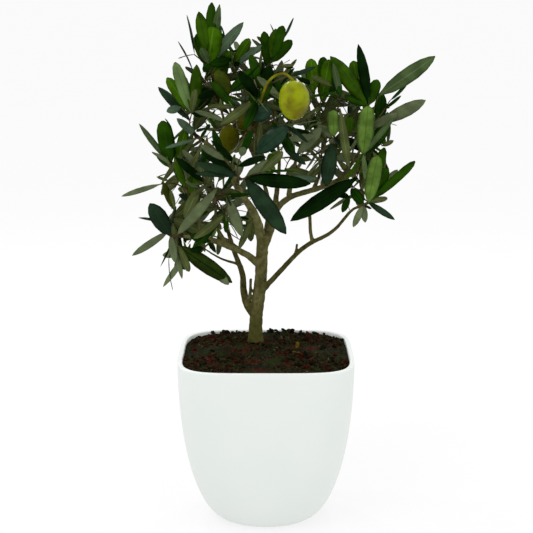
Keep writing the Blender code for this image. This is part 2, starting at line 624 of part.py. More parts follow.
def rolled_normal(along, roll):
    """The upper side's direction of a leaf that faces the front, rolled about its length."""
    facing = Vector(FRONT)
    facing = (facing - along * facing.dot(along)).normalized()
    return Quaternion(along, math.radians(roll)) @ facing


def twig_path(wood, tip):
    """A twig that leaves the nearest wood lying behind its tip and bends towards it."""
    best = None
    for path in wood:
        for before, here in zip(path, path[1:]):
            heading = (here.xyz - before.xyz).normalized()
            reach = tip - here.xyz
            cost = reach.length * (TURN_COST - heading.dot(reach.normalized()))
            if best is None or cost < best[0]:
                best = (cost, here, heading, reach)
    _, here, heading, reach = best
    far = reach.length
    elbow = here.xyz + (heading * ELBOW_AHEAD + reach.normalized() * ELBOW_ASIDE) * far
    radius = min(TWIG_SHARE * here.w, TWIG_TIP + TWIG_TAPER * far)
    path = []
    for step in range(PATH_STEPS + 1):
        t = step / PATH_STEPS
        place = here.xyz * (1 - t) ** 2 + elbow * 2 * t * (1 - t) + tip * t ** 2
        path.append(Vector((*place, radius + (TWIG_TIP - radius) * t)))
    return path


def along_from_tip(path, back):
    """The place and heading on a path at a distance back from its tip."""
    for here, before in zip(reversed(path), reversed(path[:-1])):
        step = (here.xyz - before.xyz).length
        if back <= step or before is path[0]:
            heading = (here.xyz - before.xyz) / step
            return here.xyz - heading * min(back, step), heading
        back -= step
    return None


def leaf_of_pair(place, axis, pair, side, length, turn, draw):
    """One leaf of an opposite pair; the splay opens from the tip of the shoot downwards."""
    across = Vector((1.0, 0.0, 0.0))
    across = (across - axis * across.dot(axis)).normalized()
    side_turn = math.radians(turn + 90 * pair + 180 * side + draw.uniform(-TURN_DRIFT, TURN_DRIFT))
    across = Quaternion(axis, side_turn) @ across
    splay = math.radians(YOUNG_SPLAY + SPLAY_STEP * pair + draw.uniform(-SPLAY_DRIFT, SPLAY_DRIFT))
    along = axis * math.cos(splay) + across * math.sin(splay)
    along.z -= LEAF_DROOP * pair
    along.normalize()
    normal = axis * math.sin(splay) - across * math.cos(splay)
    normal = Quaternion(along, math.radians(draw.uniform(-ROLL_DRIFT, ROLL_DRIFT))) @ normal
    size = length * PAIR_LENGTHS[pair] * draw.uniform(*SIZE_DRIFT)
    return Leaf(place - along * LEAF_ROOT, place + along * size, size * LEAF_WIDTH_SHARE, normal)


class Crowd:
    """Every limb, twig, leaf and fruit placed so far, with its owner and the box around it."""

    def __init__(self):
        self.entries = []

    def add(self, owner, points, faces):
        self.entries.append((owner, *box_of(points, GAP), BVHTree.FromPolygons(points, faces)))

    def add_mesh(self, owner, mesh):
        self.add(owner, [vert.co.copy() for vert in mesh.vertices],
                 [tuple(face.vertices) for face in mesh.polygons])

    def near(self, points, margin):
        """Owner and tree of what may lie within a margin of some points."""
        low, high = box_of(points, margin)
        for owner, other_low, other_high, tree in self.entries:
            if all(low[i] <= other_high[i] and high[i] >= other_low[i] for i in range(3)):
                yield owner, tree

    def takes_leaf(self, owner, leaf, crowd):
        """True if a leaf keeps clear of other owners, and its outer part of its own mass."""
        whole, outer = leaf.tree(GAP), leaf.tree(CROWD_MARGIN, CROWD_START)
        for other, tree in self.near(leaf.points(), GAP):
            if other != owner and tree.overlap(whole):
                return False
            if other == owner and crowd and tree.overlap(outer):
                return False
        return True

    def takes_twig(self, owner, path):
        """True if a twig keeps clear of everything that isn't of its own mass."""
        thick = tree_of(tube(path, 3, 2 * GAP))
        for other, tree in self.near([place.xyz for place in path], GAP + path[0].w):
            if other == owner:
                continue
            if tree.overlap(thick) or any(tree.find_nearest(place.xyz, place.w + GAP)[0] for place in path):
                return False
        return True


def box_of(points, margin):
    """Lowest and highest corners round some points, spread by a margin."""
    return ([min(point[i] for point in points) - margin for i in range(3)],
            [max(point[i] for point in points) + margin for i in range(3)])


def inside(space, points):
    low, high = space
    return all(low[i] <= point[i] <= high[i] for point in points for i in range(3))


def olive(centre, size, margin=0.0):
    """A plump olive, a little narrower at its lower end; size is its share of a full-grown one."""
    shape = bmesh.new()
    bmesh.ops.create_uvsphere(shape, u_segments=8, v_segments=6, radius=1.0)
    for vert in shape.verts:
        taper = 1 + FRUIT_TAPER * vert.co.z
        vert.co.x *= (size * FRUIT_WIDTH / 2 + margin) * taper
        vert.co.y *= (size * FRUIT_WIDTH / 2 + margin) * taper
        vert.co.z *= size * FRUIT_HEIGHT / 2 + margin
        vert.co += Vector(centre)
    mesh = bpy.data.meshes.new("olive")
    shape.to_mesh(mesh)
    shape.free()
    return mesh


class Mass:
    """One mass of leaves, grown from its stem within its own space and clear of its neighbours."""

    def __init__(self, name, plan, bough, crowd):
        self.name, self.plan, self.crowd = name, plan, crowd
        self.draw = random.Random(plan["seed"])
        heading = (bough[-1].xyz - bough[-2].xyz).normalized()
        foot = bough[-1].xyz + heading * GAP
        self.wood = [[Vector((*(foot + heading * reach), bough[-1].w - STEM_TAPER * reach))
                      for reach in STEM_REACH]]
        self.shoots = []
        self.leaves = []
        self.fruit = []

    def add_twig(self, tip, path=None):
        """Grow a twig to a tip unless it would touch another mass or a limb."""
        path = path or twig_path(self.wood, Vector(tip))
        if not self.crowd.takes_twig(self.name, path):
            return None
        self.wood.append(path)
        self.crowd.add_mesh(self.name, tube(path, 3))
        return path

    def add_leaf(self, leaf, seeded=True):
        """Take a leaf that touches nothing and, where it grows by the rule, stays in the space."""
        if seeded and not inside(self.plan["space"], leaf.points()):
            return False
        if not self.crowd.takes_leaf(self.name, leaf, seeded):
            return False
        self.leaves.append(leaf)
        self.crowd.add(self.name, leaf.points(), leaf.faces)
        return True

    def grow_frame(self):
        """The fruit, the shoots and the single leaves, whose places are given."""
        for tip, pairs, length, turn in self.plan["shoots"]:
            path = self.add_twig(tip)
            if path:
                self.shoots.append((path, pairs, length, turn))
            else:
                print(self.name, "shoot left out", tip)
        for centre, size, stalk in self.plan.get("fruit", ()):
            self.add_fruit(Vector(centre), size, [Vector(point) for point in stalk])
        for root, tip, width, roll in self.plan["leaves"]:
            if not self.add_single_leaf(Vector(root), Vector(tip), width, roll):
                print(self.name, "leaf left out", root, tip)

    def nearest_wood(self, place):
        return min((point.xyz for path in self.wood for point in path),
                   key=lambda point: (point - place).length)

    def add_single_leaf(self, root, tip, width, roll):
        """A leaf that is rooted in the nearest wood, or on a twig of its own where that is far."""
        nearest = self.nearest_wood(root)
        if (nearest - root).length > ROOT_REACH:
            if self.add_twig(root) is None:
                return False
            nearest = root
        along = (tip - nearest).normalized()
        leaf = Leaf(nearest - along * LEAF_ROOT, tip, width, rolled_normal(along, roll))
        return self.add_leaf(leaf, False)

    def grow_fill(self):
        """Shoots to seeded places in the space, and the pairs of leaves on every shoot."""
        low, high = (Vector(corner) for corner in self.plan["space"])
        for _ in range(self.plan["fill"] * TRIES):
            if len(self.shoots) >= self.plan["fill"] + len(self.plan["shoots"]):
                break
            spread = Vector([self.draw.uniform(-FILL_REACH, FILL_REACH) for _ in range(3)])
            tip = (low + high) / 2 + Vector([spread[i] * (high[i] - low[i]) for i in range(3)])
            path = self.add_twig(tip)
            if path:
                self.shoots.append((path, 2, FILL_LEAF, self.draw.uniform(0, 90)))
        for path, pairs, length, turn in self.shoots:
            for pair in range(pairs):
                place, axis = along_from_tip(path, TIP_STEP + INTERNODE * pair)
                for side in (0, 1):
                    for _ in range(TRIES):
                        if self.add_leaf(leaf_of_pair(place, axis, pair, side, length, turn, self.draw)):
                            break

    def add_fruit(self, centre, size, stalk):
        """Hang an olive on a stalk that leaves the wood of the mass."""
        thick = tree_of(olive(centre, size, GAP))
        for other, tree in self.crowd.near([centre], FRUIT_HEIGHT):
            if other != self.name and tree.overlap(thick):
                print(self.name, "fruit left out", tuple(centre))
                return
        rooted = (self.nearest_wood(stalk[0]) - stalk[0]).length < ROOT_SUNK
        if not rooted and self.add_twig(stalk[0]) is None:
            return
        top = centre + Vector((0.0, 0.0, size * FRUIT_HEIGHT / 2 - STALK_SUNK))
        knots = [(*point, STALK_RADIUS) for point in [*stalk, top]]
        self.add_twig(stalk[-1], smooth_path(knots, 2))
        fruit = olive(centre, size)
        self.fruit.append(fruit)
        self.crowd.add_mesh(self.name, fruit)

    def mesh(self):
        pieces = [tube(path, 3) for path in self.wood[1:]]
        pieces += [leaf.mesh() for leaf in self.leaves]
        return boolean(tube(self.wood[0], STUB_SIDES), [*pieces, *self.fruit], "UNION", JOINT_DETAILS)


def main():
    collections = start_empty()
    finishes = {name: make_material(name) for name in LOOKS}
    base = bpy.data.objects.new("foot_of_pot", None)
    collections["olive_bonsai"].objects.link(base)
    make_twig_section(collections["guides"])
    learn_leaf_outline()

    add_node("pot", make_pot(), finishes["pot"], (0, 0, 0), base)
    add_node("soil", make_soil(), finishes["soil"], (0, 0, 0), base)
    paths, limbs = make_limbs()
    crowd = Crowd()
    for name, mesh in limbs.items():
        crowd.add_mesh(name, mesh)
    masses = [Mass(name, plan, paths[plan["bough"]], crowd) for name, plan in MASSES.items()]
    for mass in masses:
        mass.grow_frame()
    for mass in masses:
        mass.grow_fill()
    for mass in masses:
        mesh = mass.mesh()
        print(mass.name, "twigs", len(mass.wood), "leaves", len(mass.leaves), "faces", len(mesh.polygons))
        add_node(mass.name, mesh, finishes["foliage"], mass.wood[0][0].xyz, base)
    print("leaves in all", sum(len(mass.leaves) for mass in masses))
    for name, mesh in limbs.items():
        add_node(name, mesh, finishes["bark"], paths[name][0].xyz, base)


main()
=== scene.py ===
# %% [markdown]
# # An olive bonsai in a ceramic pot
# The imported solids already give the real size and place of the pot, the soil, the limbs and the
# masses of leaves.  This lesson dresses them: a glazed pot, crumbly soil, bark with relief, and a
# crown that grows again by the same seeded rule, with finer leaves than a solid can carry.
# Everything is worked out in millimetres and written in metres.

# %% Load the frame
import math
import random

import bmesh
import bpy
from mathutils import Matrix, Quaternion, Vector, noise
from mathutils.bvhtree import BVHTree
from mathutils.kdtree import KDTree


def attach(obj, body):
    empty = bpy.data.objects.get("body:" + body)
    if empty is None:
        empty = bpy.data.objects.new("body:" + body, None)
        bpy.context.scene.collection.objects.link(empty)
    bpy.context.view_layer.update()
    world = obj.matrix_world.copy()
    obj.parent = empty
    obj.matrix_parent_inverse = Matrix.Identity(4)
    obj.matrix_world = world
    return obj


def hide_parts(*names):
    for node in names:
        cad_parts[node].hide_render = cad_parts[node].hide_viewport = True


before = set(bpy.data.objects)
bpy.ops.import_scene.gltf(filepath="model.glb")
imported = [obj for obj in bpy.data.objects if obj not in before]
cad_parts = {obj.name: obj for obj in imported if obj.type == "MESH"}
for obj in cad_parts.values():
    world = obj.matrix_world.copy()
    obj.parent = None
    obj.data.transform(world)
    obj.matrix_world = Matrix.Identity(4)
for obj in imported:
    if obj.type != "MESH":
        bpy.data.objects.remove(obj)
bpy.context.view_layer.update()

MM = 0.001

# %% [markdown]
# ## Camera, light and floor
# The plant was photographed from a little above its top, about a metre away, against plain white.
# One long lens, a bright even sky and two large soft lamps repeat that.  A sky alone would leave the
# leaves flat, so a lamp above the camera's left shoulder gives them an upper and a lower side.  The
# floor glows a little, as a light table does, so hardly a shadow gathers round the foot of the pot.
# Three small lamps behind the crown put the sharp white lights on the olive.

# %% Camera
CAMERA_PLACE, CAMERA_TILT, CAMERA_LENS = (0.0004, -0.966, 0.386), 11.4, 89.7

camera_data = bpy.data.cameras.new("camera")
camera_data.sensor_width = 36.0
camera_data.lens = CAMERA_LENS
camera = bpy.data.objects.new("camera", camera_data)
camera.location = CAMERA_PLACE
camera.rotation_euler = (math.radians(90 - CAMERA_TILT), 0.0, 0.0)
bpy.context.scene.collection.objects.link(camera)
bpy.context.scene.camera = camera
bpy.context.scene.view_settings.view_transform = "Standard"

# %% Sky, lamps and floor
sky = bpy.data.worlds.new("studio")
sky.use_nodes = True
sky.node_tree.nodes["Background"].inputs["Color"].default_value = (1.0, 1.0, 1.0, 1.0)
sky.node_tree.nodes["Background"].inputs["Strength"].default_value = 1.0
bpy.context.scene.world = sky


def soft_lamp(name, place, target, size, power):
    """A square lamp that faces a target."""
    light = bpy.data.lights.new(name, "AREA")
    light.size = size
    light.energy = power
    lamp = bpy.data.objects.new(name, light)
    lamp.location = place
    lamp.rotation_euler = (Vector(target) - Vector(place)).to_track_quat("-Z", "Y").to_euler()
    bpy.context.scene.collection.objects.link(lamp)


FRONT_OLIVE, FLOOR_HALF_WIDTH = (0.02, -0.04, 0.31), 600.0
SPARKLES = [(-0.32, 0.9, 0.96), (0.24, 0.87, 1.03), (-0.81, 0.38, 1.06)]

soft_lamp("key", (-0.9, -1.2, 1.5), (0, 0, 0.25), 1.2, 6)
soft_lamp("fill", (1.3, -0.9, 0.9), (0, 0, 0.2), 1.4, 2)
for index, place in enumerate(SPARKLES):
    soft_lamp(f"sparkle_{index}", place, FRONT_OLIVE, 0.07, 0.9)

floor_shape = bmesh.new()
bmesh.ops.create_grid(floor_shape, x_segments=1, y_segments=1, size=FLOOR_HALF_WIDTH)
floor_mesh = bpy.data.meshes.new("floor")
floor_shape.to_mesh(floor_mesh)
floor_shape.free()
floor = bpy.data.objects.new("floor", floor_mesh)
bpy.context.scene.collection.objects.link(floor)

# %% [markdown]
# ## A small language for materials
# A finish is a sum of simple masks.  Wrapping each socket lets a mask be written as arithmetic, so
# `1 - mask` or `mask * 0.3` adds the node it needs, and the formula stays readable.

# %% Sums on sockets
def sum_of(operation, turned=False):
    """An operator on sockets; turned is for a plain number that stands first."""
    def work(self, other):
        first, second = (other, self) if turned else (self, other)
        return self.finish.node("ShaderNodeMath", {"operation": operation}, {0: first, 1: second})
    return work


class Value:
    """A socket that can be added, subtracted and multiplied."""

    __add__, __sub__, __mul__ = sum_of("ADD"), sum_of("SUBTRACT"), sum_of("MULTIPLY")
    __radd__, __rsub__ = sum_of("ADD", True), sum_of("SUBTRACT", True)

    def __init__(self, finish, socket):
        self.finish, self.socket = finish, socket


# %% A finish
class Finish:
    """A Principled material, put together from values, nodes and mixes."""

    def __init__(self, name, colour, roughness, **constants):
        self.material = bpy.data.materials.new(name)
        self.material.use_nodes = True
        self.tree = self.material.node_tree
        self.shader = self.tree.nodes["Principled BSDF"]
        self.shader.inputs["Base Color"].default_value = (*colour, 1.0)
        self.shader.inputs["Roughness"].default_value = roughness
        for socket, value in constants.items():
            self.shader.inputs[socket.replace("_", " ")].default_value = value
        self.place = self.node("ShaderNodeTexCoord", {}, {}, "Object")

    def node(self, kind, settings, sockets, output=0):
        """Add a node: its settings first, then the values and links of its sockets."""
        node = self.tree.nodes.new(kind)
        for setting, value in settings.items():
            setattr(node, setting, value)
        for key, value in sockets.items():
            if isinstance(value, Value):
                self.tree.links.new(value.socket, node.inputs[key])
            else:
                node.inputs[key].default_value = value
        return Value(self, node.outputs[output])

    def noise(self, scale, detail=3.0, roughness=0.5):
        """Noise from 0 to 1; a scale of 1000 has lumps about a millimetre across."""
        sockets = {"Vector": self.place, "Scale": scale, "Detail": detail, "Roughness": roughness}
        return self.node("ShaderNodeTexNoise", {}, sockets)

    def band(self, value, low, high):
        """A smooth step from 0 at low to 1 at high."""
        return self.node("ShaderNodeMapRange", {"interpolation_type": "SMOOTHSTEP"},
                         {"Value": value, "From Min": low, "From Max": high})

    def mix(self, mask, first, second):
        """The first colour where the mask is 0 and the second where it is 1."""
        sockets = {"Factor": mask, 6: first, 7: second}
        for key in (6, 7):
            if isinstance(sockets[key], tuple):
                sockets[key] = (*sockets[key], 1.0)
        return self.node("ShaderNodeMix", {"data_type": "RGBA"}, sockets, 2)

    def axis(self, index):
        """The x, y or z of the place on the object, in metres."""
        return self.node("ShaderNodeSeparateXYZ", {}, {0: self.place}, index)

    def feed(self, socket, value):
        """Link a value to a socket of the shader."""
        self.tree.links.new(value.socket, self.shader.inputs[socket])

    def bump(self, height, distance, strength=1.0):
        """Press a height into the surface."""
        sockets = {"Height": height, "Distance": distance, "Strength": strength}
        self.feed("Normal", self.node("ShaderNodeBump", {}, sockets))


def put(name, mesh, finishes, nodes):
    """Show a millimetre mesh as a piece of the plant that stands for some of the solids."""
    mesh.transform(Matrix.Scale(MM, 4))
    for finish in finishes:
        mesh.materials.append(finish.material)
    mesh.shade_smooth()
    piece = bpy.data.objects.new(name, mesh)
    bpy.context.scene.collection.objects.link(piece)
    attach(piece, "root")
    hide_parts(*nodes)
    print(name, "faces", len(mesh.polygons))


def mesh_of(shape, name):
    """A mesh with the faces of a shape, which is freed."""
    mesh = bpy.data.meshes.new(name)
    shape.to_mesh(mesh)
    shape.free()
    return mesh


# %% Floor finish
floor_finish = Finish("pale_floor", (0.30, 0.30, 0.30), 0.9, Specular_IOR_Level=0.0,
                      Emission_Color=(1.0, 1.0, 1.0, 1.0), Emission_Strength=0.66)
floor_finish.feed("Base Color", floor_finish.mix(floor_finish.noise(3.0), (0.295, 0.295, 0.295),
                                                 (0.305, 0.305, 0.305)))
floor_mesh.materials.append(floor_finish.material)

# %% [markdown]
# ## The pot
# The pot has a round foot that opens and squares off towards the rim, with a soft lip.
# A lathe would keep it round, so a ring is extruded upwards level by level instead, and each new
# ring is set to a superellipse whose exponent grows with height.  The inner wall goes back down the
# same way, so the wall is even all round.  The soil grows from the same function.

# %% Pot measures
POT_HEIGHT, RIM_HALF_WIDTH, FOOT_RADIUS, FOOT_EASE = 127.0, 65.0, 33.0, 1.0
RIM_SQUARENESS, SQUARING, SIDE_RISE, SIDE_FLARE = 4.8, 0.8, 2.15, 1.87
WALL, POT_FLOOR = 3.5, 6.0
LIP_ROUND, LIP_STEPS, LIP_SIDE, LIP_TOP, LIP_HIGHLIGHT_BAND = 1.2, 8, 0.7, 0.8, 0.9
POT_SEGMENTS, POT_LEVELS, LEVEL_EASE = 128, 26, 1.35


def pot_half_width(level):
    """Outer half width of the pot at a share of its height."""
    swell = (1 - (1 - level) ** SIDE_RISE) ** (1 / SIDE_FLARE)
    return FOOT_RADIUS + (RIM_HALF_WIDTH - FOOT_RADIUS) * swell


def pot_squareness(level):
    """2 gives a round ring, and more a squarer one."""
    return 2 + (RIM_SQUARENESS - 2) * level ** SQUARING


def wall_ring(level, inset):
    """Half width, squareness and height of a ring that stands inside the pot's outline."""
    return pot_half_width(level) - inset, pot_squareness(level), level * POT_HEIGHT


# %% Pot shape
def on_ring(angle, half_width, squareness):
    """The x and y of a superellipse at an angle."""
    c, s = math.cos(angle), math.sin(angle)
    return (half_width * math.copysign(abs(c) ** (2 / squareness), c),
            half_width * math.copysign(abs(s) ** (2 / squareness), s))


def grown_ring(shape, edges):
    """Extrude a ring of edges; gives the new corners and the new ring."""
    made = bmesh.ops.extrude_edge_only(shape, edges=edges)["geom"]
    corners = {part for part in made if isinstance(part, bmesh.types.BMVert)}
    ring = [part for part in made if isinstance(part, bmesh.types.BMEdge) and set(part.verts) <= corners]
    return corners, ring


def grown_from_disc(segments, radius, bottom, foot, rings):
    """A closed shape grown ring by ring from a disc; a ring is moved by its share of the way to foot."""
    def move(corner, share):
        corner.co.x += foot[0] * share
        corner.co.y += foot[1] * share

    shape = bmesh.new()
    turn = shape.verts.layers.float.new("turn")
    bmesh.ops.create_circle(shape, cap_ends=True, segments=segments, radius=radius)
    for corner in shape.verts:
        corner[turn] = math.atan2(corner.co.y, corner.co.x)
        corner.co.z = bottom
        move(corner, 1.0)
    edges = list(shape.edges)
    for half_width, squareness, height, share in rings:
        corners, edges = grown_ring(shape, edges)
        for corner in corners:
            corner.co = (*on_ring(corner[turn], half_width, squareness), height)
            move(corner, share)
    bmesh.ops.contextual_create(shape, geom=edges)
    bmesh.ops.recalc_face_normals(shape, faces=shape.faces)
    return shape


def pot_rings():
    """Half width, squareness and height of each ring, up the outside, over the lip and down inside."""
    yield FOOT_RADIUS - 0.3 * FOOT_EASE, 2, 0.3 * FOOT_EASE
    levels = [(step / POT_LEVELS) ** LEVEL_EASE for step in range(1, POT_LEVELS)]
    for level in levels:
        yield wall_ring(level, 0.0)
    middle = RIM_HALF_WIDTH - WALL / 2
    for step in range(LIP_STEPS + 1):
        turn = math.pi * step / LIP_STEPS
        yield (middle + WALL / 2 * math.copysign(abs(math.cos(turn)) ** LIP_SIDE, math.cos(turn)),
               RIM_SQUARENESS, POT_HEIGHT - LIP_ROUND + LIP_ROUND * math.sin(turn) ** LIP_TOP)
    for level in reversed(levels):
        if level * POT_HEIGHT > POT_FLOOR:
            yield wall_ring(level, WALL)


pot = grown_from_disc(POT_SEGMENTS, FOOT_RADIUS - FOOT_EASE, 0.0, (0.0, 0.0),
                      [(*ring, 0.0) for ring in pot_rings()])

# %% [markdown]
# The glaze is a matt eggshell white with a breath of green.  Real glaze pools and thins a little, so
# its colour drifts over centimetres and its skin has a very fine orange-peel bump.  The top of the
# lip is painted whiter as a painted highlight, and the inner wall is painted paler than the outside,
# a painted light against the shade inside the pot.

# %% Glaze
glaze = Finish("eggshell_glaze", (0.78, 0.83, 0.79), 0.42)
pools = glaze.band(glaze.noise(28.0, 4.0), 0.3, 0.75)
body = glaze.mix(pools, (0.742, 0.778, 0.750), (0.722, 0.768, 0.736))
# The top of the lip is painted whiter: a painted highlight where the light falls on the rim.
lip = glaze.band(glaze.axis(2), (POT_HEIGHT - LIP_HIGHLIGHT_BAND) * MM, POT_HEIGHT * MM)
glaze.feed("Base Color", glaze.mix(lip, body, (0.86, 0.90, 0.87)))
glaze.feed("Roughness", 0.40 + glaze.noise(160.0, 2.0) * 0.08)
glaze.bump(glaze.noise(900.0, 3.0) + glaze.noise(60.0, 2.0) * 0.6, 0.00006, 0.5)
# The inner wall is painted paler than the outer glaze: painted light that lifts the shade inside the pot.
inside = Finish("inner_glaze_painted_light", (0.90, 0.94, 0.91), 0.42)
inside.bump(inside.noise(900.0, 3.0), 0.00006, 0.5)
pot_mesh = mesh_of(pot, "glazed_pot")
for face in pot_mesh.polygons:
    face.material_index = int(face.center.z > POT_FLOOR and face.normal.xy.dot(face.center.xy) < 0)
put("glazed_pot", pot_mesh, [glaze, inside], ["pot"])

# %% [markdown]
# ## The soil
# Bonsai soil is a coarse mix of bark crumbs and grit with a film of moss.  A displaced disc gives
# its rise towards the trunk, and some thousands of loose crumbs give the broken edge that stands
# above the rim at the back.  The disc grows ring by ring from the trunk's foot to the wall.

# %% Soil bed
SOIL_EDGE_DEPTH, TRUNK_FOOT, SOIL_TOP, SOIL_PLATEAU = 2.6, (-8.0, 15.0), 129.7, 8.0
SOIL_INSET, SOIL_PLAY, SOIL_FLOOR, SOIL_LEVELS = WALL + 0.35, 0.3, POT_FLOOR + 0.4, 12
BED_SEGMENTS, BED_RINGS = 224, 40
ASIDE_FROM, ASIDE_OVER, BACK_FROM, BACK_OVER = 22, 34, 14, 44


def soil_rings():
    """Half width, squareness, height and shift of each ring from the trunk outwards and down."""
    edge = POT_HEIGHT - SOIL_EDGE_DEPTH
    rim = pot_half_width(edge / POT_HEIGHT) - SOIL_INSET
    for step in range(1, BED_RINGS + 1):
        share = 1 - step / BED_RINGS
        rise = share * share * (3 - 2 * share)
        yield (rim + (SOIL_PLATEAU - rim) * share, RIM_SQUARENESS + (2 - RIM_SQUARENESS) * share,
               edge + (SOIL_TOP - edge) * rise, share)
    for step in range(SOIL_LEVELS - 1, 0, -1):
        level = (step / SOIL_LEVELS) ** LEVEL_EASE
        if level * POT_HEIGHT > SOIL_FLOOR:
            yield *wall_ring(level, SOIL_INSET + SOIL_PLAY), 0.0


def ramp(value, start, over):
    """A straight rise from 0 at the start to 1."""
    return min(1.0, max(0.0, (value - start) / over))


def heaped(place):
    """The soil is heaped against the back wall and has settled in the two back corners."""
    aside = ramp(abs(place.x), ASIDE_FROM, ASIDE_OVER)
    return (1.0 - 2.0 * aside) * ramp(place.y, BACK_FROM, BACK_OVER)


def lumps(place):
    """Height of the crumbs that are part of the bed itself."""
    return (1.0 * noise.noise(place * 0.35) + 0.8 * abs(noise.noise(place * 0.9))
            + 0.4 * noise.noise(place * 2.2))


soil = grown_from_disc(BED_SEGMENTS, SOIL_PLATEAU - 1, SOIL_TOP, TRUNK_FOOT, soil_rings())
for corner in soil.verts:
    if corner.co.z > POT_HEIGHT - SOIL_EDGE_DEPTH - 1:
        corner.co.z += lumps(corner.co) + heaped(corner.co)
soil_tree = BVHTree.FromBMesh(soil)

# %% Soil finishes
BROWN, BLACK, RUST, MOSS, GRIT, STRAW = range(6)
EARTH = [("brown_crumb", (0.034, 0.022, 0.009)), ("black_crumb", (0.008, 0.008, 0.004)),
         ("rust_crumb", (0.050, 0.007, 0.004)), ("moss", (0.032, 0.040, 0.010)),
         ("grey_grit", (0.110, 0.105, 0.055)), ("dry_leaf", (0.240, 0.170, 0.020))]


def drifting(finish, dark, light, patches, grain, depth, strength):
    """Let a finish drift between two colours in patches, and give it a fine bump."""
    finish.feed("Base Color", finish.mix(finish.band(finish.noise(*patches), 0.35, 0.65), dark, light))
    finish.bump(finish.noise(*grain), depth, strength)
    return finish


def times(colour, factor):
    return tuple(factor * part for part in colour)


def earth_finish(name, colour):
    """A matt colour that drifts darker and lighter from crumb to crumb, with a grainy bump."""
    finish = Finish(name, colour, 0.95, Specular_IOR_Level=0.03)
    return drifting(finish, times(colour, 0.45), colour, (500.0, 4.0), (1600.0, 4.0), 0.0004, 1.0)


earth = [earth_finish(name, colour) for name, colour in EARTH]
bed_finish = earth_finish("soil_bed", (0.020, 0.012, 0.008))
moss_mask = bed_finish.band(bed_finish.noise(55.0, 4.0) + bed_finish.noise(400.0) * 0.3, 0.62, 0.78)
rust_mask = bed_finish.band(bed_finish.noise(90.0, 5.0, 0.6), 0.52, 0.6)
bed_colour = bed_finish.mix(rust_mask, (0.009, 0.009, 0.004), (0.044, 0.007, 0.004))
speck_mask = bed_finish.band(bed_finish.noise(700.0, 3.0), 0.55, 0.62)
bed_colour = bed_finish.mix(speck_mask, bed_colour, (0.040, 0.036, 0.016))
bed_finish.feed("Base Color", bed_finish.mix(moss_mask, bed_colour, (0.018, 0.024, 0.006)))
put("soil_bed", mesh_of(soil, "soil_bed"), [bed_finish], ["soil"])

# %% Crumbs
CRUMB_TRIES, CRUMB_REACH, CRUMB_SIZE, LARGEST_CRUMB, TRUNK_CLEAR = 3600, 60.5, 0.48, 2.2, 6.5
ABOVE_ALL, DEEPEST = 200.0, 7
draw = random.Random(41)


def on_soil(x, y):
    """The point of the bed under a place."""
    hit = soil_tree.ray_cast(Vector((x, y, ABOVE_ALL)), Vector((0.0, 0.0, -1.0)))[0]
    return hit if hit and hit.z > POT_HEIGHT - SOIL_EDGE_DEPTH - DEEPEST else None


def add_crumb(shape, place, size, tone, subdivisions):
    """A lumpy grain: an icosphere that is stretched, turned and pushed about by noise."""
    turn = Quaternion([draw.gauss(0, 1) for _ in range(4)]).normalized().to_matrix().to_4x4()
    stretch = Matrix.Diagonal((draw.uniform(0.8, 1.5), draw.uniform(0.7, 1.1), draw.uniform(0.5, 0.9), 1))
    made = bmesh.ops.create_icosphere(shape, subdivisions=subdivisions, radius=size,
                                      matrix=Matrix.Translation(place) @ turn @ stretch)["verts"]
    for vert in made:
        vert.co += (vert.co - place) * 0.5 * noise.noise(vert.co / size * 0.9)
    for face in {face for vert in made for face in vert.link_faces}:
        face.material_index = tone


crumbs = bmesh.new()
laid = 0
for _ in range(CRUMB_TRIES):
    angle, reach = draw.uniform(0, math.tau), draw.uniform(0, 1) ** 0.5
    place = on_soil(*on_ring(angle, reach * CRUMB_REACH, RIM_SQUARENESS))
    if place is None or (Vector(TRUNK_FOOT) - place.xy).length < TRUNK_CLEAR:
        continue
    laid += 1
    size = min(LARGEST_CRUMB, CRUMB_SIZE * math.exp(draw.gauss(0.15, 0.5)))
    tone = draw.choices((BROWN, BLACK, RUST, MOSS, GRIT), (28, 26, 20, 16, 9))[0]
    if tone == GRIT:
        size *= 0.5
    add_crumb(crumbs, place + Vector((0, 0, 0.35 * size)), size, tone, 2 if size > 1.5 else 1)
print("crumbs", laid)

# %% Crumbs at the back rim, grit and scraps of dry leaf
BACK_CRUMBS, SCRAP_WIDTH, SCRAP_THICKNESS = 46, 1.6, 0.25
SCRAPS = [[(22, -1, 127.5), (25, -2, 131), (23, -3, 133.5)],
          [(17, -8, 126.5), (21, -10, 129), (26, -12, 127)],
          [(-11, -4, 127.5), (-8, -5, 129), (-6, -4, 127.5)]]

for _ in range(BACK_CRUMBS):
    x = draw.uniform(-50, 56)
    place = on_soil(x, draw.uniform(56, 60))
    if place:
        size = draw.uniform(0.9, 2.2)
        tone = draw.choices((BROWN, BLACK, MOSS), (3, 4, 3))[0]
        add_crumb(crumbs, place + Vector((0, 0, draw.uniform(0.5, 2.2))), size, tone, 2)


def add_scrap(shape, points):
    """A curled scrap of dry leaf: a small sheet laid over a few places and given some thickness."""
    start, middle, end = (Vector(point) for point in points)
    made = bmesh.ops.create_grid(shape, x_segments=2, y_segments=4, size=1.0)["verts"]
    for vert in made:
        along, across = (vert.co.y + 1) / 2, vert.co.x
        spine = start * (1 - along) ** 2 + middle * 2 * along * (1 - along) + end * along ** 2
        width = SCRAP_WIDTH * math.sin(math.pi * (0.12 + 0.8 * along))
        vert.co = spine + Vector((across * width, 0.4 * width * across, 0.9 * abs(across) + 0.2))
    faces = list({face for vert in made for face in vert.link_faces})
    for face in faces:
        face.material_index = STRAW
    bmesh.ops.solidify(shape, geom=faces, thickness=SCRAP_THICKNESS)


for points in SCRAPS:
    add_scrap(crumbs, points)
for x, y in ((12, 26), (37, -6), (-41, -30), (46, -22), (8, -4), (-24, 30)):
    place = on_soil(x, y)
    add_crumb(crumbs, place + Vector((0, 0, 0.6)), draw.uniform(0.7, 1.3), GRIT, 2)
put("soil_crumbs", mesh_of(crumbs, "soil_crumbs"), earth, ["soil"])
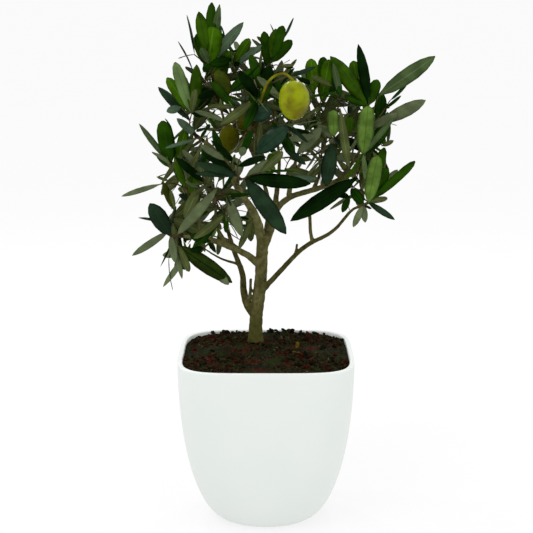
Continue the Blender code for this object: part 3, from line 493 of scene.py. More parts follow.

# %% [markdown]
# ## The plan of the tree
# The plan is the source's, in millimetres: limbs, masses, shoots and single leaves stand where the
# solids do.  Only a few leaves, one shoot and the two inner olives are placed or sized differently,
# and the fine leaves are for this scene alone.  A letter gives the colour of each leaf.  Old leaves
# are dark (k, d), mature ones green (m, z), young ones bright (y, l), and blue ones (b, j) carry a
# painted reflection of the sky in their colour.  Leaves that are turned or hang inside are u, v, g
# and w, and o and q are turning brown.

# %% Limbs and stubs
LIMBS = {
    "trunk": [
        (-8, 15, 130, 6.4), (-8, 15, 136, 5.5), (-7, 14, 153, 4.9), (-4, 14, 178, 4.8), (-3, 12, 200, 4.5),
        (-2, 12, 213, 4.7),
    ],
    "upper_left_bough": [
        (-3, 12, 208, 3.9), (-8, 9, 228, 3.3), (-20, 3, 248, 2.9), (-28, -4, 267, 2.9),
        (-40, -8, 281, 2.5), (-47, -10, 287, 1.6),
    ],
    "right_bough": [
        (-2, 13, 204, 3.8), (3, 15, 215, 3.2), (8, 18, 231, 2.8), (19, 17, 241, 2.6), (41, 10, 249, 2.5),
        (66, 3, 261, 2.3), (77, 0, 264, 2),
    ],
    "left_bough": [
        (-4, 13, 189, 3.4), (-14, 5, 199, 2.6), (-29, -5, 208, 2.5), (-44, -14, 215, 2.1),
        (-62, -22, 218, 1.4),
    ],
    "low_left_stem": [
        (-7, 15, 148, 3.3), (-14, 16, 158, 3), (-17, 19, 169, 2.7), (-18, 24, 181, 2.3),
        (-24, 31, 196, 1.9), (-30, 38, 214, 1.5),
    ],
    "low_right_bough": [
        (-4, 13, 169, 2.6), (5, 7, 180, 2.2), (27, -6, 206, 2), (48, -15, 220, 1.7), (61, -21, 236, 1.5),
        (67, -24, 240, 1.3),
    ],
    "back_bough": [(-3, 12, 207, 3), (1, 24, 217, 2.6), (1, 44, 238, 2.2), (-12, 62, 272, 1.6)],
    "top_left_bough": [(-28, -3, 264, 1.9), (-28, 4, 288, 1.6), (-34, 2, 312, 1.3)],
    "centre_bough": [(6, 18, 231, 2.5), (8, 22, 243, 2.2), (10, 28, 267, 1.6), (7, 26, 291, 1.3)],
    "centre_right_bough": [(17, 17, 242, 2.1), (19, 10, 256, 1.8), (22, 4, 270, 1.6), (28, -2, 289, 1.3)],
    "left_rising_bough": [(-46, -14, 215, 1.6), (-50, -12, 231, 1.4), (-56, -10, 246, 1.2)],
    "inner_left_bough": [(-28, -5, 208, 1.9), (-36, -6, 222, 1.6), (-37, -10, 240, 1.2)],
    "front_bough": [(-21, 2, 250, 1.8), (-20, -16, 258, 1.5), (-18, -34, 261, 1.2)],
    "middle_bough": [(-31, -5, 271, 1.7), (-21, -16, 284, 1.4), (-12, -30, 296, 1.2)],
    "right_rising_bough": [(56, 6, 257, 1.9), (66, -4, 274, 1.5), (72, -8, 288, 1.2)],
    "back_right_bough": [(36, 11, 249, 1.8), (40, 34, 254, 1.5), (42, 52, 262, 1.2)],
}

# Dead and cut stubs that stand on a limb, from its middle outwards.
STUBS = {
    "low_left_stem": [[(-14, 16, 158, 1.8), (-12, 14, 168, 1.3), (-11.5, 15, 179, 1.1)],
                      [(-22, 27, 188, 1.2), (-34, 12, 195, 0.9), (-48, -4, 207, 0.7)]],
    "low_right_bough": [[(34, -9, 211, 1.6), (32.5, -10, 220, 1.4), (32, -10, 231, 1.3)],
                        [(20, -2, 198, 1.3), (22, -3, 203, 1.1), (23, -4, 209, 0.9)]],
    "right_bough": [[(66, 3, 261, 1.6), (70, 4, 266, 1.4), (72, 4, 272, 1.2)]],
}

# %% Masses of leaves
# A shoot has its tip, pairs, length, turn and tone; a leaf its root, tip, width, roll and tone; and a
# fruit its middle, size and stalk.  The fine leaves are too fine for the solids.
MASSES = {
    "leaves_top_left": {
        "bough": "top_left_bough", "seed": 3, "fill": 2, "space": ((-60, -34, 302), (-12, 46, 368)),
        "shoots": [
            ((-41, -11, 341), 1, 30, 80, "g"), ((-47, 6, 324), 2, 30, 40, "m"),
            ((-38, 26, 328), 3, 34, 10, "k"), ((-30, -12, 324), 1, 28, 20, "m"),
            ((-24, 26, 322), 2, 34, 60, "m"),
        ],
        "leaves": [
            ((-42, -15, 350), (-47, -18, 377), 9, 0, "z"), ((-39, -8, 342), (-38, -2, 384), 8, 10, "m"),
            ((-39, -3, 340), (-34, -1, 382), 7, 200, "g"), ((-48, -6, 340), (-49, -8, 362), 7, 10, "m"),
            ((-51, -8, 347), (-54, -10, 375), 7, 80, "b"), ((-53, 0, 336), (-62, 2, 357), 6, 75, "b"),
            ((-36, -12, 340), (-16, -4, 369), 8, 180, "w"), ((-34, 0, 349), (-31, 2, 367), 5, 60, "m"),
            ((-45, 0, 339), (-50, 6, 361), 9, 15, "m"), ((-42, -14, 338), (-37, -19, 366), 15, 0, "y"),
            ((-36, -6, 337), (-25, -8, 349), 9, 0, "y"), ((-27, -4, 326), (-28, -4, 344), 6, 20, "m"),
        ],
        "fine": [
            ((-51, -4, 342), (-63, -4, 345), 4, 75, "b"), ((-29, -4, 356), (-34, -4, 363), 5, 30, "d"),
            ((-33, -4, 363), (-31, -4, 367), 3, 60, "d"), ((-37, -12, 338), (-44, -14, 335), 6, 20, "d"),
            ((-37, -10, 338), (-25, -10, 343), 8, 10, "d"),
        ],
    },
    "leaves_left_upper": {
        "bough": "upper_left_bough", "seed": 5, "fill": 3, "space": ((-72, -34, 284), (-30, 48, 336)),
        "shoots": [
            ((-53, -14, 306), 1, 28, 70, "m"), ((-42, -12, 304), 2, 28, 30, "m"),
            ((-44, 16, 311), 2, 34, 30, "k"), ((-52, 28, 302), 2, 34, 0, "d"),
        ],
        "leaves": [
            ((-54, -14, 306), (-65, -16, 342), 8.5, 190, "l"),
            ((-54, -12, 304), (-71, -8, 331), 8, 0, "y"), ((-51, -16, 310), (-49, -20, 340), 9, 0, "z"),
            ((-56, -8, 303), (-77, -2, 325), 8, 30, "b"), ((-61, -12, 310), (-71, -18, 307), 6, 180, "w"),
            ((-49, -14, 290), (-64, -20, 303), 6, 175, "w"),
            ((-49, -18, 289), (-76, -24, 256), 4.5, 160, "v"),
        ],
        "fine": [
            ((-55, -14, 309), (-57, -12, 332), 4, 20, "y"),
            ((-50, -20, 288), (-72, -26, 282), 3, 170, "w"),
            ((-38, -10, 320), (-46, -12, 323), 7, 20, "k"), ((-52, -8, 306), (-44, -8, 303), 4, 20, "k"),
        ],
    },
    "leaves_left": {
        "bough": "left_rising_bough", "seed": 8, "fill": 3, "space": ((-82, -34, 234), (-36, 58, 294)),
        "shoots": [
            ((-69, -10, 269), 1, 26, 60, "d"), ((-58, -9, 260), 2, 26, 20, "m"),
            ((-64, 28, 258), 3, 34, 40, "k"), ((-56, 40, 246), 2, 34, 80, "d"),
            ((-62, 10, 250), 2, 30, 30, "d"),
        ],
        "leaves": [
            ((-67, -10, 271), (-92, -6, 297), 4.5, 195, "g"),
            ((-68, -12, 271), (-74, -14, 300), 12, 0, "m"), ((-64, -10, 264), (-58, -8, 295), 8, 0, "y"),
            ((-47, -22, 281), (-56, -18, 260), 4.5, 170, "v"),
            ((-47, -14, 264), (-46, -16, 277), 5, 180, "w"),
            ((-76, -16, 255), (-104, -20, 247), 4, 165, "u"), ((-55, 2, 245), (-51, 2, 267), 8, 0, "y"),
        ],
        "fine": [
            ((-68, -10, 295), (-72, -10, 302), 3, 70, "b"), ((-49, -26, 250), (-53, -30, 270), 7, 0, "y"),
            ((-58, -24, 254), (-64, -26, 272), 6, 10, "z"),
        ],
    },
    "leaves_low_left": {
        "bough": "left_bough", "seed": 13, "fill": 2, "space": ((-82, -46, 186), (-22, 46, 250)),
        "shoots": [
            ((-70, -24, 222), 1, 28, 30, "b"), ((-64, -24, 212), 1, 28, 70, "m"),
            ((-66, 12, 226), 3, 34, 20, "k"), ((-62, 22, 206), 2, 34, 60, "d"),
            ((-68, -4, 214), 2, 30, 0, "d"),
        ],
        "leaves": [
            ((-66, -22, 237), (-73, -26, 258), 6, 20, "o"),
            ((-63, -22, 236), (-68, -26, 253), 4, 170, "o"),
            ((-68, -24, 219), (-82, -32, 243), 12.5, 10, "b"),
            ((-74, -22, 220), (-96, -30, 205), 5.5, 180, "u"),
            ((-78, -24, 226), (-91, -28, 234), 4, 65, "b"),
            ((-69, -26, 219), (-65, -30, 200), 6, 180, "u"),
            ((-65, -26, 217), (-61, -30, 188), 4.5, 160, "u"),
            ((-60, -30, 214), (-25, -38, 187), 11.5, 10, "q"),
            ((-56, -26, 207), (-74, -28, 182), 4.5, 180, "u"),
            ((-42, -26, 200), (-27, -32, 184), 7, 180, "u"),
            ((-40, -32, 216), (-54, -34, 221), 7, 10, "d"),
        ],
        "fine": [
            ((-70, -26, 203), (-69, -28, 179), 4, 78, "b"), ((-46, -32, 215), (-54, -34, 210), 5, 10, "k"),
            ((-40, -28, 195), (-26, -36, 185), 6, 185, "u"),
            ((-60, -26, 217), (-60, -26, 203), 2.5, 70, "k"),
            ((-70, -28, 205), (-69, -28, 179), 2, 75, "b"),
        ],
    },
    "leaves_inner_left": {
        "bough": "inner_left_bough", "seed": 21, "fill": 3, "space": ((-64, -62, 212), (-6, 6, 286)),
        "shoots": [
            ((-48, -26, 254), 2, 30, 30, "d"), ((-44, -32, 266), 2, 30, 70, "d"),
            ((-28, -26, 248), 1, 26, 20, "d"), ((-30, -10, 232), 1, 24, 50, "m"),
        ],
        "leaves": [
            ((-34, -34, 255), (-62, -54, 224), 8, 180, "u"),
            ((-28, -22, 241), (-17, -30, 219), 8, 180, "u"),
            ((-48, -24, 252), (-58, -30, 232), 8, 180, "v"),
            ((-10, -8, 228), (-18, -12, 230), 5, 160, "v"), ((-14, -8, 228), (-20, -12, 206), 5, 180, "v"),
        ],
    },
    "leaves_front": {
        "bough": "front_bough", "seed": 34, "fill": 0, "space": ((-46, -80, 236), (24, -30, 300)),
        "shoots": [
            ((-29, -44, 276), 2, 28, 50, "d"), ((-3, -48, 268), 1, 30, 20, "m"),
            ((-17, -56, 280), 2, 28, 70, "d"),
        ],
        "leaves": [
            ((-17, -45, 264), (30, -58, 261), 10, 10, "k"),
            ((-16, -45, 263), (13, -70, 229), 12.5, 5, "b"),
            ((-20, -44, 266), (-48, -50, 275), 6.5, 10, "b"),
            ((-22, -44, 264), (-49, -50, 268), 5, 20, "b"), ((-14, -42, 265), (8, -48, 277), 9, 195, "u"),
            ((-17, -40, 266), (-21, -40, 277), 8, 180, "u"), ((13, -34, 262), (36, -36, 261), 6, 165, "w"),
        ],
        "fine": [
            ((1, -30, 268), (4, -30, 279), 5, 0, "y"), ((-3, -30, 267), (3, -30, 261), 5, 0, "y"),
            ((1, -36, 266), (-3, -36, 268), 5, 0, "y"), ((2, -36, 262), (1, -34, 273), 5, 0, "l"),
        ],
    },
    "leaves_middle": {
        "bough": "middle_bough", "seed": 55, "fill": 4, "space": ((-40, -84, 276), (40, -12, 344)),
        "shoots": [
            ((-5, -48, 314), 2, 28, 40, "m"), ((-22, -42, 312), 1, 28, 70, "m"),
            ((14, -40, 300), 2, 28, 20, "b"), ((12, -32, 284), 2, 28, 60, "b"),
            ((-8, -54, 332), 0, 0, 0, "d"),
        ],
        "leaves": [
            ((-14, -50, 307), (4, -57, 311), 13, 20, "j"), ((-7, -50, 281), (14, -58, 300), 12.5, 0, "j"),
            ((-32, -44, 300), (-9, -50, 316), 7, 180, "v"), ((16, -48, 334), (35, -42, 339), 5, 60, "b"),
            ((7, -44, 306), (16, -48, 282), 6, 40, "d"), ((-2, -42, 303), (-7, -46, 278), 5.5, 180, "v"),
            ((-26, -40, 321), (-34, -38, 338), 11, 0, "o"),
        ],
        "fruit": [
            ((19, -66, 319), 1, [(-4, -52, 316), (1, -60, 330), (8, -65, 336), (14, -66, 336)]),
            ((-13, -12, 299), 0.8, [(-9, -35, 303), (-10, -28, 311), (-12, -19, 314)]),
            ((-26, -24, 289), 0.7, [(-22, -34, 300), (-26, -28, 303)]),
        ],
        "fine": [
            ((18, -34, 278), (28, -34, 271), 5, 20, "b"), ((-25, -44, 322), (-3, -40, 341), 3.5, 60, "w"),
        ],
    },
    "leaves_centre_top": {
        "bough": "centre_bough", "seed": 89, "fill": 1, "space": ((-34, -30, 288), (28, 56, 362)),
        "shoots": [
            ((-23, -5, 339), 1, 26, 30, "m"), ((2, 2, 336), 1, 26, 60, "k"),
            ((-3, -14, 324), 2, 21, 10, "m"), ((-10, 28, 330), 3, 34, 45, "d"),
            ((8, 36, 322), 2, 34, 0, "m"), ((16, 14, 316), 2, 30, 70, "k"),
        ],
        "leaves": [
            ((-18, -8, 342), (-12, -10, 358), 7.5, 0, "y"), ((-21, -12, 340), (-2, -14, 354), 5, 180, "w"),
            ((-4, 2, 341), (-1, 2, 363), 7.5, 10, "m"), ((4, -4, 344), (7, -6, 365), 8.5, 0, "z"),
            ((4, 2, 342), (19, 4, 357), 7.5, 10, "m"), ((13, 8, 358), (21, 10, 372), 5, 75, "b"),
            ((-6, -16, 323), (3, -16, 339), 11, 0, "k"), ((-26, -16, 321), (-4, -18, 338), 9, 20, "m"),
            ((-20, 6, 342), (-34, 12, 363), 5, 50, "m"), ((-3, -14, 325), (-10, -16, 347), 9, 30, "m"),
        ],
        "fine": [
            ((5, -5, 344), (12, -7, 367), 8, 0, "m"), ((3, -2, 357), (4, 0, 369), 2.5, 60, "b"),
            ((-26, -6, 345), (-19, -8, 341), 4, 30, "k"),
        ],
    },
    "leaves_right_top": {
        "bough": "centre_right_bough", "seed": 144, "fill": 3, "space": ((10, -46, 250), (64, 46, 338)),
        "shoots": [
            ((40, -4, 314), 1, 26, 80, "d"), ((28, 16, 312), 2, 32, 30, "m"),
            ((54, 14, 312), 2, 34, 60, "k"), ((28, 4, 296), 2, 28, 10, "b"),
            ((47, -24, 296), 1, 28, 40, "y"),
        ],
        "leaves": [
            ((37, -8, 317), (45, -12, 343), 10, 0, "y"), ((40, 0, 329), (42, 2, 345), 7.5, 10, "m"),
            ((34, -10, 320), (32, -12, 344), 9.5, 0, "y"), ((52, -30, 310), (58, -38, 269), 6.5, 180, "v"),
            ((47, -28, 286), (42, -38, 257), 11, 10, "b"), ((44, -26, 291), (47, -32, 309), 9, 0, "l"),
            ((23, -18, 277), (40, -22, 297), 8, 180, "u"), ((53, -20, 318), (47, -24, 342), 5, 180, "g"),
            ((14, -9, 265), (38, -6, 256), 9, 180, "v"),
        ],
        "fine": [
            ((42, -4, 320), (47, -4, 338), 5, 10, "m"), ((8, -16, 274), (6, -18, 279), 5, 0, "l"),
            ((44, -10, 317), (50, -10, 323), 5, 20, "d"), ((43, -2, 317), (45, -4, 331), 6, 20, "d"),
            ((56, -20, 318), (48, -22, 335), 6, 0, "g"),
        ],
    },
    "leaves_right": {
        "bough": "right_rising_bough", "seed": 233, "fill": 1, "space": ((38, -50, 242), (94, 54, 338)),
        "shoots": [
            ((74, -4, 311), 1, 28, 60, "m"), ((70, -14, 276), 1, 28, 30, "y"),
            ((82, -4, 298), 2, 28, 10, "m"), ((66, 24, 302), 3, 34, 40, "d"),
            ((76, 28, 292), 3, 34, 70, "m"),
        ],
        "leaves": [
            ((73, -8, 313), (67, -10, 354), 8.5, 20, "k"), ((80, -12, 318), (119, -30, 347), 11, 180, "g"),
            ((85, -10, 299), (114, -25, 316), 9.5, 180, "u"), ((90, 0, 314), (104, 4, 326), 4, 60, "w"),
            ((69, -10, 311), (47, -14, 346), 13, 10, "z"), ((83, -4, 300), (84, -2, 320), 9.5, 10, "d"),
            ((69, -20, 275), (72, -26, 311), 12.5, 0, "l"),
            ((73, -20, 276), (91, -26, 305), 4.5, 190, "g"), ((75, -10, 275), (90, -6, 299), 10, 0, "d"),
            ((65, -20, 260), (18, -48, 235), 12.5, 10, "k"), ((76, 0, 314), (81, 2, 329), 8.5, 0, "m"),
            ((67, 4, 325), (63, 4, 342), 8, 0, "y"),
        ],
        "fine": [
            ((89, -4, 309), (98, -4, 317), 4, 50, "d"), ((84, -10, 282), (92, -12, 286), 3.5, 180, "v"),
            ((66, -8, 312), (57, -10, 318), 7, 10, "m"), ((60, -12, 292), (60, -14, 303), 9, 10, "z"),
        ],
    },
    "leaves_low_right": {
        "bough": "low_right_bough", "seed": 377, "fill": 1, "space": ((44, -44, 230), (92, 28, 274)),
        "shoots": [
            ((73, -22, 243), 1, 26, 30, "m"), ((64, 6, 250), 2, 28, 60, "d"),
            ((74, 14, 252), 2, 28, 10, "k"),
        ],
        "leaves": [
            ((70, -26, 248), (79, -30, 277), 10.5, 0, "l"), ((79, -18, 246), (85, -16, 281), 8, 0, "m"),
            ((84, -14, 249), (95, -12, 265), 7, 180, "u"), ((78, -20, 244), (106, -28, 272), 6.5, 20, "m"),
            ((77, -22, 239), (92, -28, 231), 4.8, 10, "b"), ((70, -26, 241), (62, -32, 226), 5, 180, "u"),
            ((70, -26, 241), (71, -29, 229), 5, 180, "u"), ((69.5, -25, 242), (61, -22, 253), 7.5, 0, "d"),
            ((60, -18, 246), (49, -16, 249), 5, 0, "k"), ((52, -16, 247), (55, -20, 235), 5, 0, "d"),
            ((72, -23, 245), (87, -22, 267), 9.5, 10, "m"),
        ],
        "fine": [((71, -27, 241), (75, -30, 239), 3, 60, "d")],
    },
    "leaves_back_left": {
        "bough": "low_left_stem", "seed": 610, "fill": 3, "space": ((-74, 26, 192), (-2, 98, 262)),
        "shoots": [
            ((-46, 62, 234), 3, 34, 20, "m"), ((-56, 50, 226), 2, 34, 60, "d"),
            ((-28, 74, 234), 3, 36, 0, "y"), ((-16, 56, 230), 2, 34, 80, "m"),
            ((-42, 58, 212), 2, 32, 40, "d"),
        ],
        "leaves": [],
    },
    "leaves_back_top": {
        "bough": "back_bough", "seed": 987, "fill": 3, "space": ((-58, 44, 250), (36, 116, 342)),
        "shoots": [
            ((-16, 76, 304), 3, 36, 20, "m"), ((2, 62, 314), 3, 34, 60, "d"),
            ((-32, 80, 290), 3, 36, 40, "y"), ((14, 82, 296), 3, 36, 0, "m"),
            ((-10, 96, 280), 3, 34, 70, "d"), ((-36, 58, 306), 2, 34, 30, "m"),
        ],
        "leaves": [],
    },
    "leaves_back_right": {
        "bough": "back_right_bough", "seed": 1597, "fill": 2, "space": ((12, 32, 236), (96, 108, 326)),
        "shoots": [
            ((44, 66, 292), 3, 36, 30, "m"), ((64, 58, 284), 3, 36, 60, "d"),
            ((28, 82, 272), 3, 36, 0, "y"), ((56, 74, 262), 3, 34, 80, "m"),
            ((74, 48, 270), 2, 34, 40, "d"),
        ],
        "leaves": [],
    },
}


# %% [markdown]
# ## The growth rule
# An olive shoot carries its leaves in opposite pairs, each pair a quarter turn from the last.  A
# twig leaves the nearest wood that lies behind its tip.  Each new twig or leaf is tested against all
# that grew before it with search trees, and skipped where it would touch another mass.  The test
# uses the plain six-sided blade of the solids, so a leaf lands where its solid stands.

# %% Curves through places
GAP = 0.3


def smooth_path(points, steps=3):
    """A smooth curve through places given as x, y, z and radius."""
    knots = [Vector(point) for point in points]
    knots = [2 * knots[0] - knots[1], *knots, 2 * knots[-1] - knots[-2]]
    path = []
    for a, b, c, d in zip(knots, knots[1:], knots[2:], knots[3:]):
        for step in range(steps):
            t = step / steps
            path.append(0.5 * (2 * b + (c - a) * t + (2 * a - 5 * b + 4 * c - d) * t ** 2
                               + (3 * b - a - 3 * c + d) * t ** 3))
    return [*path, knots[-2]]


def tube_mesh(paths, resolution, section=None, extra=0.0):
    """Tapering tubes along paths, swept by one curve; a section makes them three-sided."""
    curve = bpy.data.curves.new("tubes", "CURVE")
    curve.dimensions = "3D"
    curve.use_fill_caps = True
    if section:
        curve.bevel_mode = "OBJECT"
        curve.bevel_object = section
    else:
        curve.bevel_depth = 1.0
        curve.bevel_resolution = resolution
    for path in paths:
        first = path[0].xyz - (path[1].xyz - path[0].xyz).normalized() * extra
        last = path[-1].xyz + (path[-1].xyz - path[-2].xyz).normalized() * extra
        spline = curve.splines.new("POLY")
        spline.points.add(len(path) - 1)
        for point, place, sized in zip(spline.points, [first, *[p.xyz for p in path[1:-1]], last], path):
            point.co = (*place, 1.0)
            point.radius = sized.w + extra
    swept = bpy.data.objects.new("tubes", curve)
    bpy.context.scene.collection.objects.link(swept)
    mesh = bpy.data.meshes.new_from_object(swept.evaluated_get(bpy.context.evaluated_depsgraph_get()))
    bpy.data.objects.remove(swept)
    bpy.data.curves.remove(curve)
    return mesh


# %% The three-sided section of a test twig
TWIG_SIDES = 3

outline = bpy.data.curves.new("twig_section", "CURVE")
outline.dimensions = "2D"
outline_corners = outline.splines.new("POLY")
outline_corners.points.add(TWIG_SIDES - 1)
outline_corners.use_cyclic_u = True
for index, corner in enumerate(outline_corners.points):
    turn = math.tau * index / TWIG_SIDES
    corner.co = (math.cos(turn), -math.sin(turn), 0.0, 1.0)
twig_section = bpy.data.objects.new("twig_section", outline)
bpy.context.scene.collection.objects.link(twig_section)


def tree_of(mesh):
    """A search tree over the faces of a mesh."""
    return BVHTree.FromPolygons([vert.co for vert in mesh.vertices],
                                [face.vertices for face in mesh.polygons])


# %% A blade
HALF_HEXAGON = math.sin(math.radians(60))
FULLNESS, TAPER, HALF_THICK, LEAF_BEND, LEAF_ARCH = 0.9, 0.12, 0.45, 0.07, 0.35


class Blade:
    """A leaf from root to tip, with its upper side along its normal and the tone of its spray."""

    flat = bmesh.new()
    bmesh.ops.create_uvsphere(flat, u_segments=6, v_segments=2, radius=1.0)
    outline = [(v.co.x, -0.4 if abs(v.co.z) > 0.5 else v.co.y, v.co.z) for v in flat.verts]
    faces = [[vert.index for vert in face.verts] for face in flat.faces]
    flat.free()

    def __init__(self, root, tip, width, normal, tone="d"):
        self.root, self.tip, self.width = Vector(root), Vector(tip), width
        self.length = (self.tip - self.root).length
        self.along = (self.tip - self.root).normalized()
        self.side = self.along.cross(normal).normalized()
        self.up = self.side.cross(self.along)
        self.tone = tone

    def spine(self, share):
        """The place on the arched middle line at a share of the length."""
        fall = LEAF_BEND * self.length * (share ** 2 - LEAF_ARCH * math.sin(math.pi * share))
        return self.root + self.along * self.length * share - self.up * fall

    def points(self, margin=0.0, start=0.0):
        """The corners of the plain blade, grown by a margin and begun at a share of the length."""
        places = []
        for across, along, height in self.outline:
            share = start + (1 - start) * (0.5 + 0.5 * along)
            reach = across * (FULLNESS - TAPER * along) / HALF_HEXAGON * (self.width / 2 + margin)
            places.append(self.spine(share) + self.along * margin * along + self.side * reach
                          + self.up * height * (HALF_THICK + margin))
        return places

    def tree(self, margin=0.0, start=0.0):
        return BVHTree.FromPolygons(self.points(margin, start), self.faces)


# %% All that has grown so far
OUTER_GAP, OUTER_PART = 0.1, 0.2


def box_of(points, margin):
    """The low and the high corner of the box round some points."""
    return ([min(point[i] for point in points) - margin for i in range(3)],
            [max(point[i] for point in points) + margin for i in range(3)])


class Crowd:
    """Every limb, twig, leaf and fruit placed so far, with its owner and the box around it."""

    def __init__(self):
        self.entries = []

    def add(self, owner, points, faces):
        self.entries.append((owner, *box_of(points, GAP), BVHTree.FromPolygons(points, faces)))

    def add_mesh(self, owner, mesh, scale=1.0):
        self.add(owner, [vert.co * scale for vert in mesh.vertices],
                 [tuple(face.vertices) for face in mesh.polygons])

    def near(self, points, margin):
        low, high = box_of(points, margin)
        for owner, other_low, other_high, tree in self.entries:
            if all(low[i] <= other_high[i] and high[i] >= other_low[i] for i in range(3)):
                yield owner, tree

    def takes_leaf(self, owner, leaf, crowded):
        """True if a leaf keeps clear of other owners, and its outer part of its own mass."""
        whole, outer = leaf.tree(GAP), leaf.tree(OUTER_GAP, OUTER_PART)
        for other, tree in self.near(leaf.points(), GAP):
            if other != owner and tree.overlap(whole):
                return False
            if other == owner and crowded and tree.overlap(outer):
                return False
        return True

    def takes_twig(self, owner, path):
        """True if a twig keeps clear of everything that isn't of its own mass."""
        thick = tree_of(tube_mesh([path], 0, twig_section, 2 * GAP))
        for other, tree in self.near([place.xyz for place in path], GAP + path[0].w):
            if other == owner:
                continue
            if tree.overlap(thick) or any(tree.find_nearest(place.xyz, place.w + GAP)[0] for place in path):
                return False
        return True


# %% Twigs and pairs of leaves
BACKWARD_COST, ELBOW_ON, ELBOW_OVER, TWIG_STEPS = 1.7, 0.35, 0.15, 3
TIP_RADIUS, RADIUS_GAIN, THINNER = 0.55, 0.012, 0.8
PAIR_SIZES, PAIR_DROOP, TURN_PLAY = (0.82, 1.0, 0.95, 0.85), 0.10, 14.0
SPLAY, SPLAY_GAIN, SPLAY_PLAY, ROLL_PLAY, LEAF_SLENDER, LEAF_SINK = 24.0, 17.0, 7.0, 25.0, 0.25, 0.6


def twig_path(wood, tip):
    """A twig that leaves the nearest wood lying behind its tip and bends towards it."""
    best = None
    for path in wood:
        for before, here in zip(path, path[1:]):
            heading = (here.xyz - before.xyz).normalized()
            reach = tip - here.xyz
            cost = reach.length * (BACKWARD_COST - heading.dot(reach.normalized()))
            if best is None or cost < best[0]:
                best = (cost, here, heading, reach)
    _, here, heading, reach = best
    far = reach.length
    elbow = here.xyz + (heading * ELBOW_ON + reach.normalized() * ELBOW_OVER) * far
    radius = min(THINNER * here.w, TIP_RADIUS + RADIUS_GAIN * far)
    path = []
    for step in range(TWIG_STEPS + 1):
        t = step / TWIG_STEPS
        place = here.xyz * (1 - t) ** 2 + elbow * 2 * t * (1 - t) + tip * t ** 2
        path.append(Vector((*place, radius + (TIP_RADIUS - radius) * t)))
    return path


def along_from_tip(path, back):
    """The place and heading on a path at a distance back from its tip."""
    for here, before in zip(reversed(path), reversed(path[:-1])):
        step = (here.xyz - before.xyz).length
        if back <= step or before is path[0]:
            heading = (here.xyz - before.xyz) / step
            return here.xyz - heading * min(back, step), heading
        back -= step


def leaf_of_pair(place, axis, pair, side, length, turn, draw):
    """One leaf of an opposite pair; the splay opens from the tip of the shoot downwards."""
    across = Vector((1.0, 0.0, 0.0))
    across = (across - axis * across.dot(axis)).normalized()
    turned = turn + 90 * pair + 180 * side + draw.uniform(-TURN_PLAY, TURN_PLAY)
    across = Quaternion(axis, math.radians(turned)) @ across
    splay = math.radians(SPLAY + SPLAY_GAIN * pair + draw.uniform(-SPLAY_PLAY, SPLAY_PLAY))
    along = axis * math.cos(splay) + across * math.sin(splay)
    along.z -= PAIR_DROOP * pair
    along.normalize()
    normal = axis * math.sin(splay) - across * math.cos(splay)
    normal = Quaternion(along, math.radians(draw.uniform(-ROLL_PLAY, ROLL_PLAY))) @ normal
    size = length * PAIR_SIZES[pair] * draw.uniform(0.9, 1.06)
    return Blade(place - along * LEAF_SINK, place + along * size, size * LEAF_SLENDER, normal)


# %% Olives
FRUIT_WIDTH, FRUIT_HEIGHT = 21.0, 27.0


def shape_olive(verts, centre, size, margin=0.0, narrow=0.06):
    """Turn a unit sphere into a plump olive that is narrower at its lower end."""
    for vert in verts:
        taper = 1 + narrow * vert.co.z
        vert.co.x *= (size * FRUIT_WIDTH / 2 + margin) * taper
        vert.co.y *= (size * FRUIT_WIDTH / 2 + margin) * taper
        vert.co.z *= size * FRUIT_HEIGHT / 2 + margin
        vert.co += Vector(centre)


def test_olive(centre, size, margin=0.0):
    shape = bmesh.new()
    bmesh.ops.create_uvsphere(shape, u_segments=8, v_segments=6, radius=1.0)
    shape_olive(shape.verts, centre, size, margin)
    return mesh_of(shape, "test_olive")


# %% One mass of leaves
STEM_REACHES, STEM_TAPER, ON_THE_WOOD, LEAF_REACH = (0.0, 3.0, 7.0), 0.02, 0.5, 9.0
STALK_RADIUS, STALK_DIP, FILL_TRIES, FILL_SPREAD = 0.9, 1.5, 4, 0.3
PAIR_START, PAIR_APART, FILL_PAIRS, FILL_LENGTH, LEAF_TRIES = 0.4, 10.0, 2, 30.0, 4


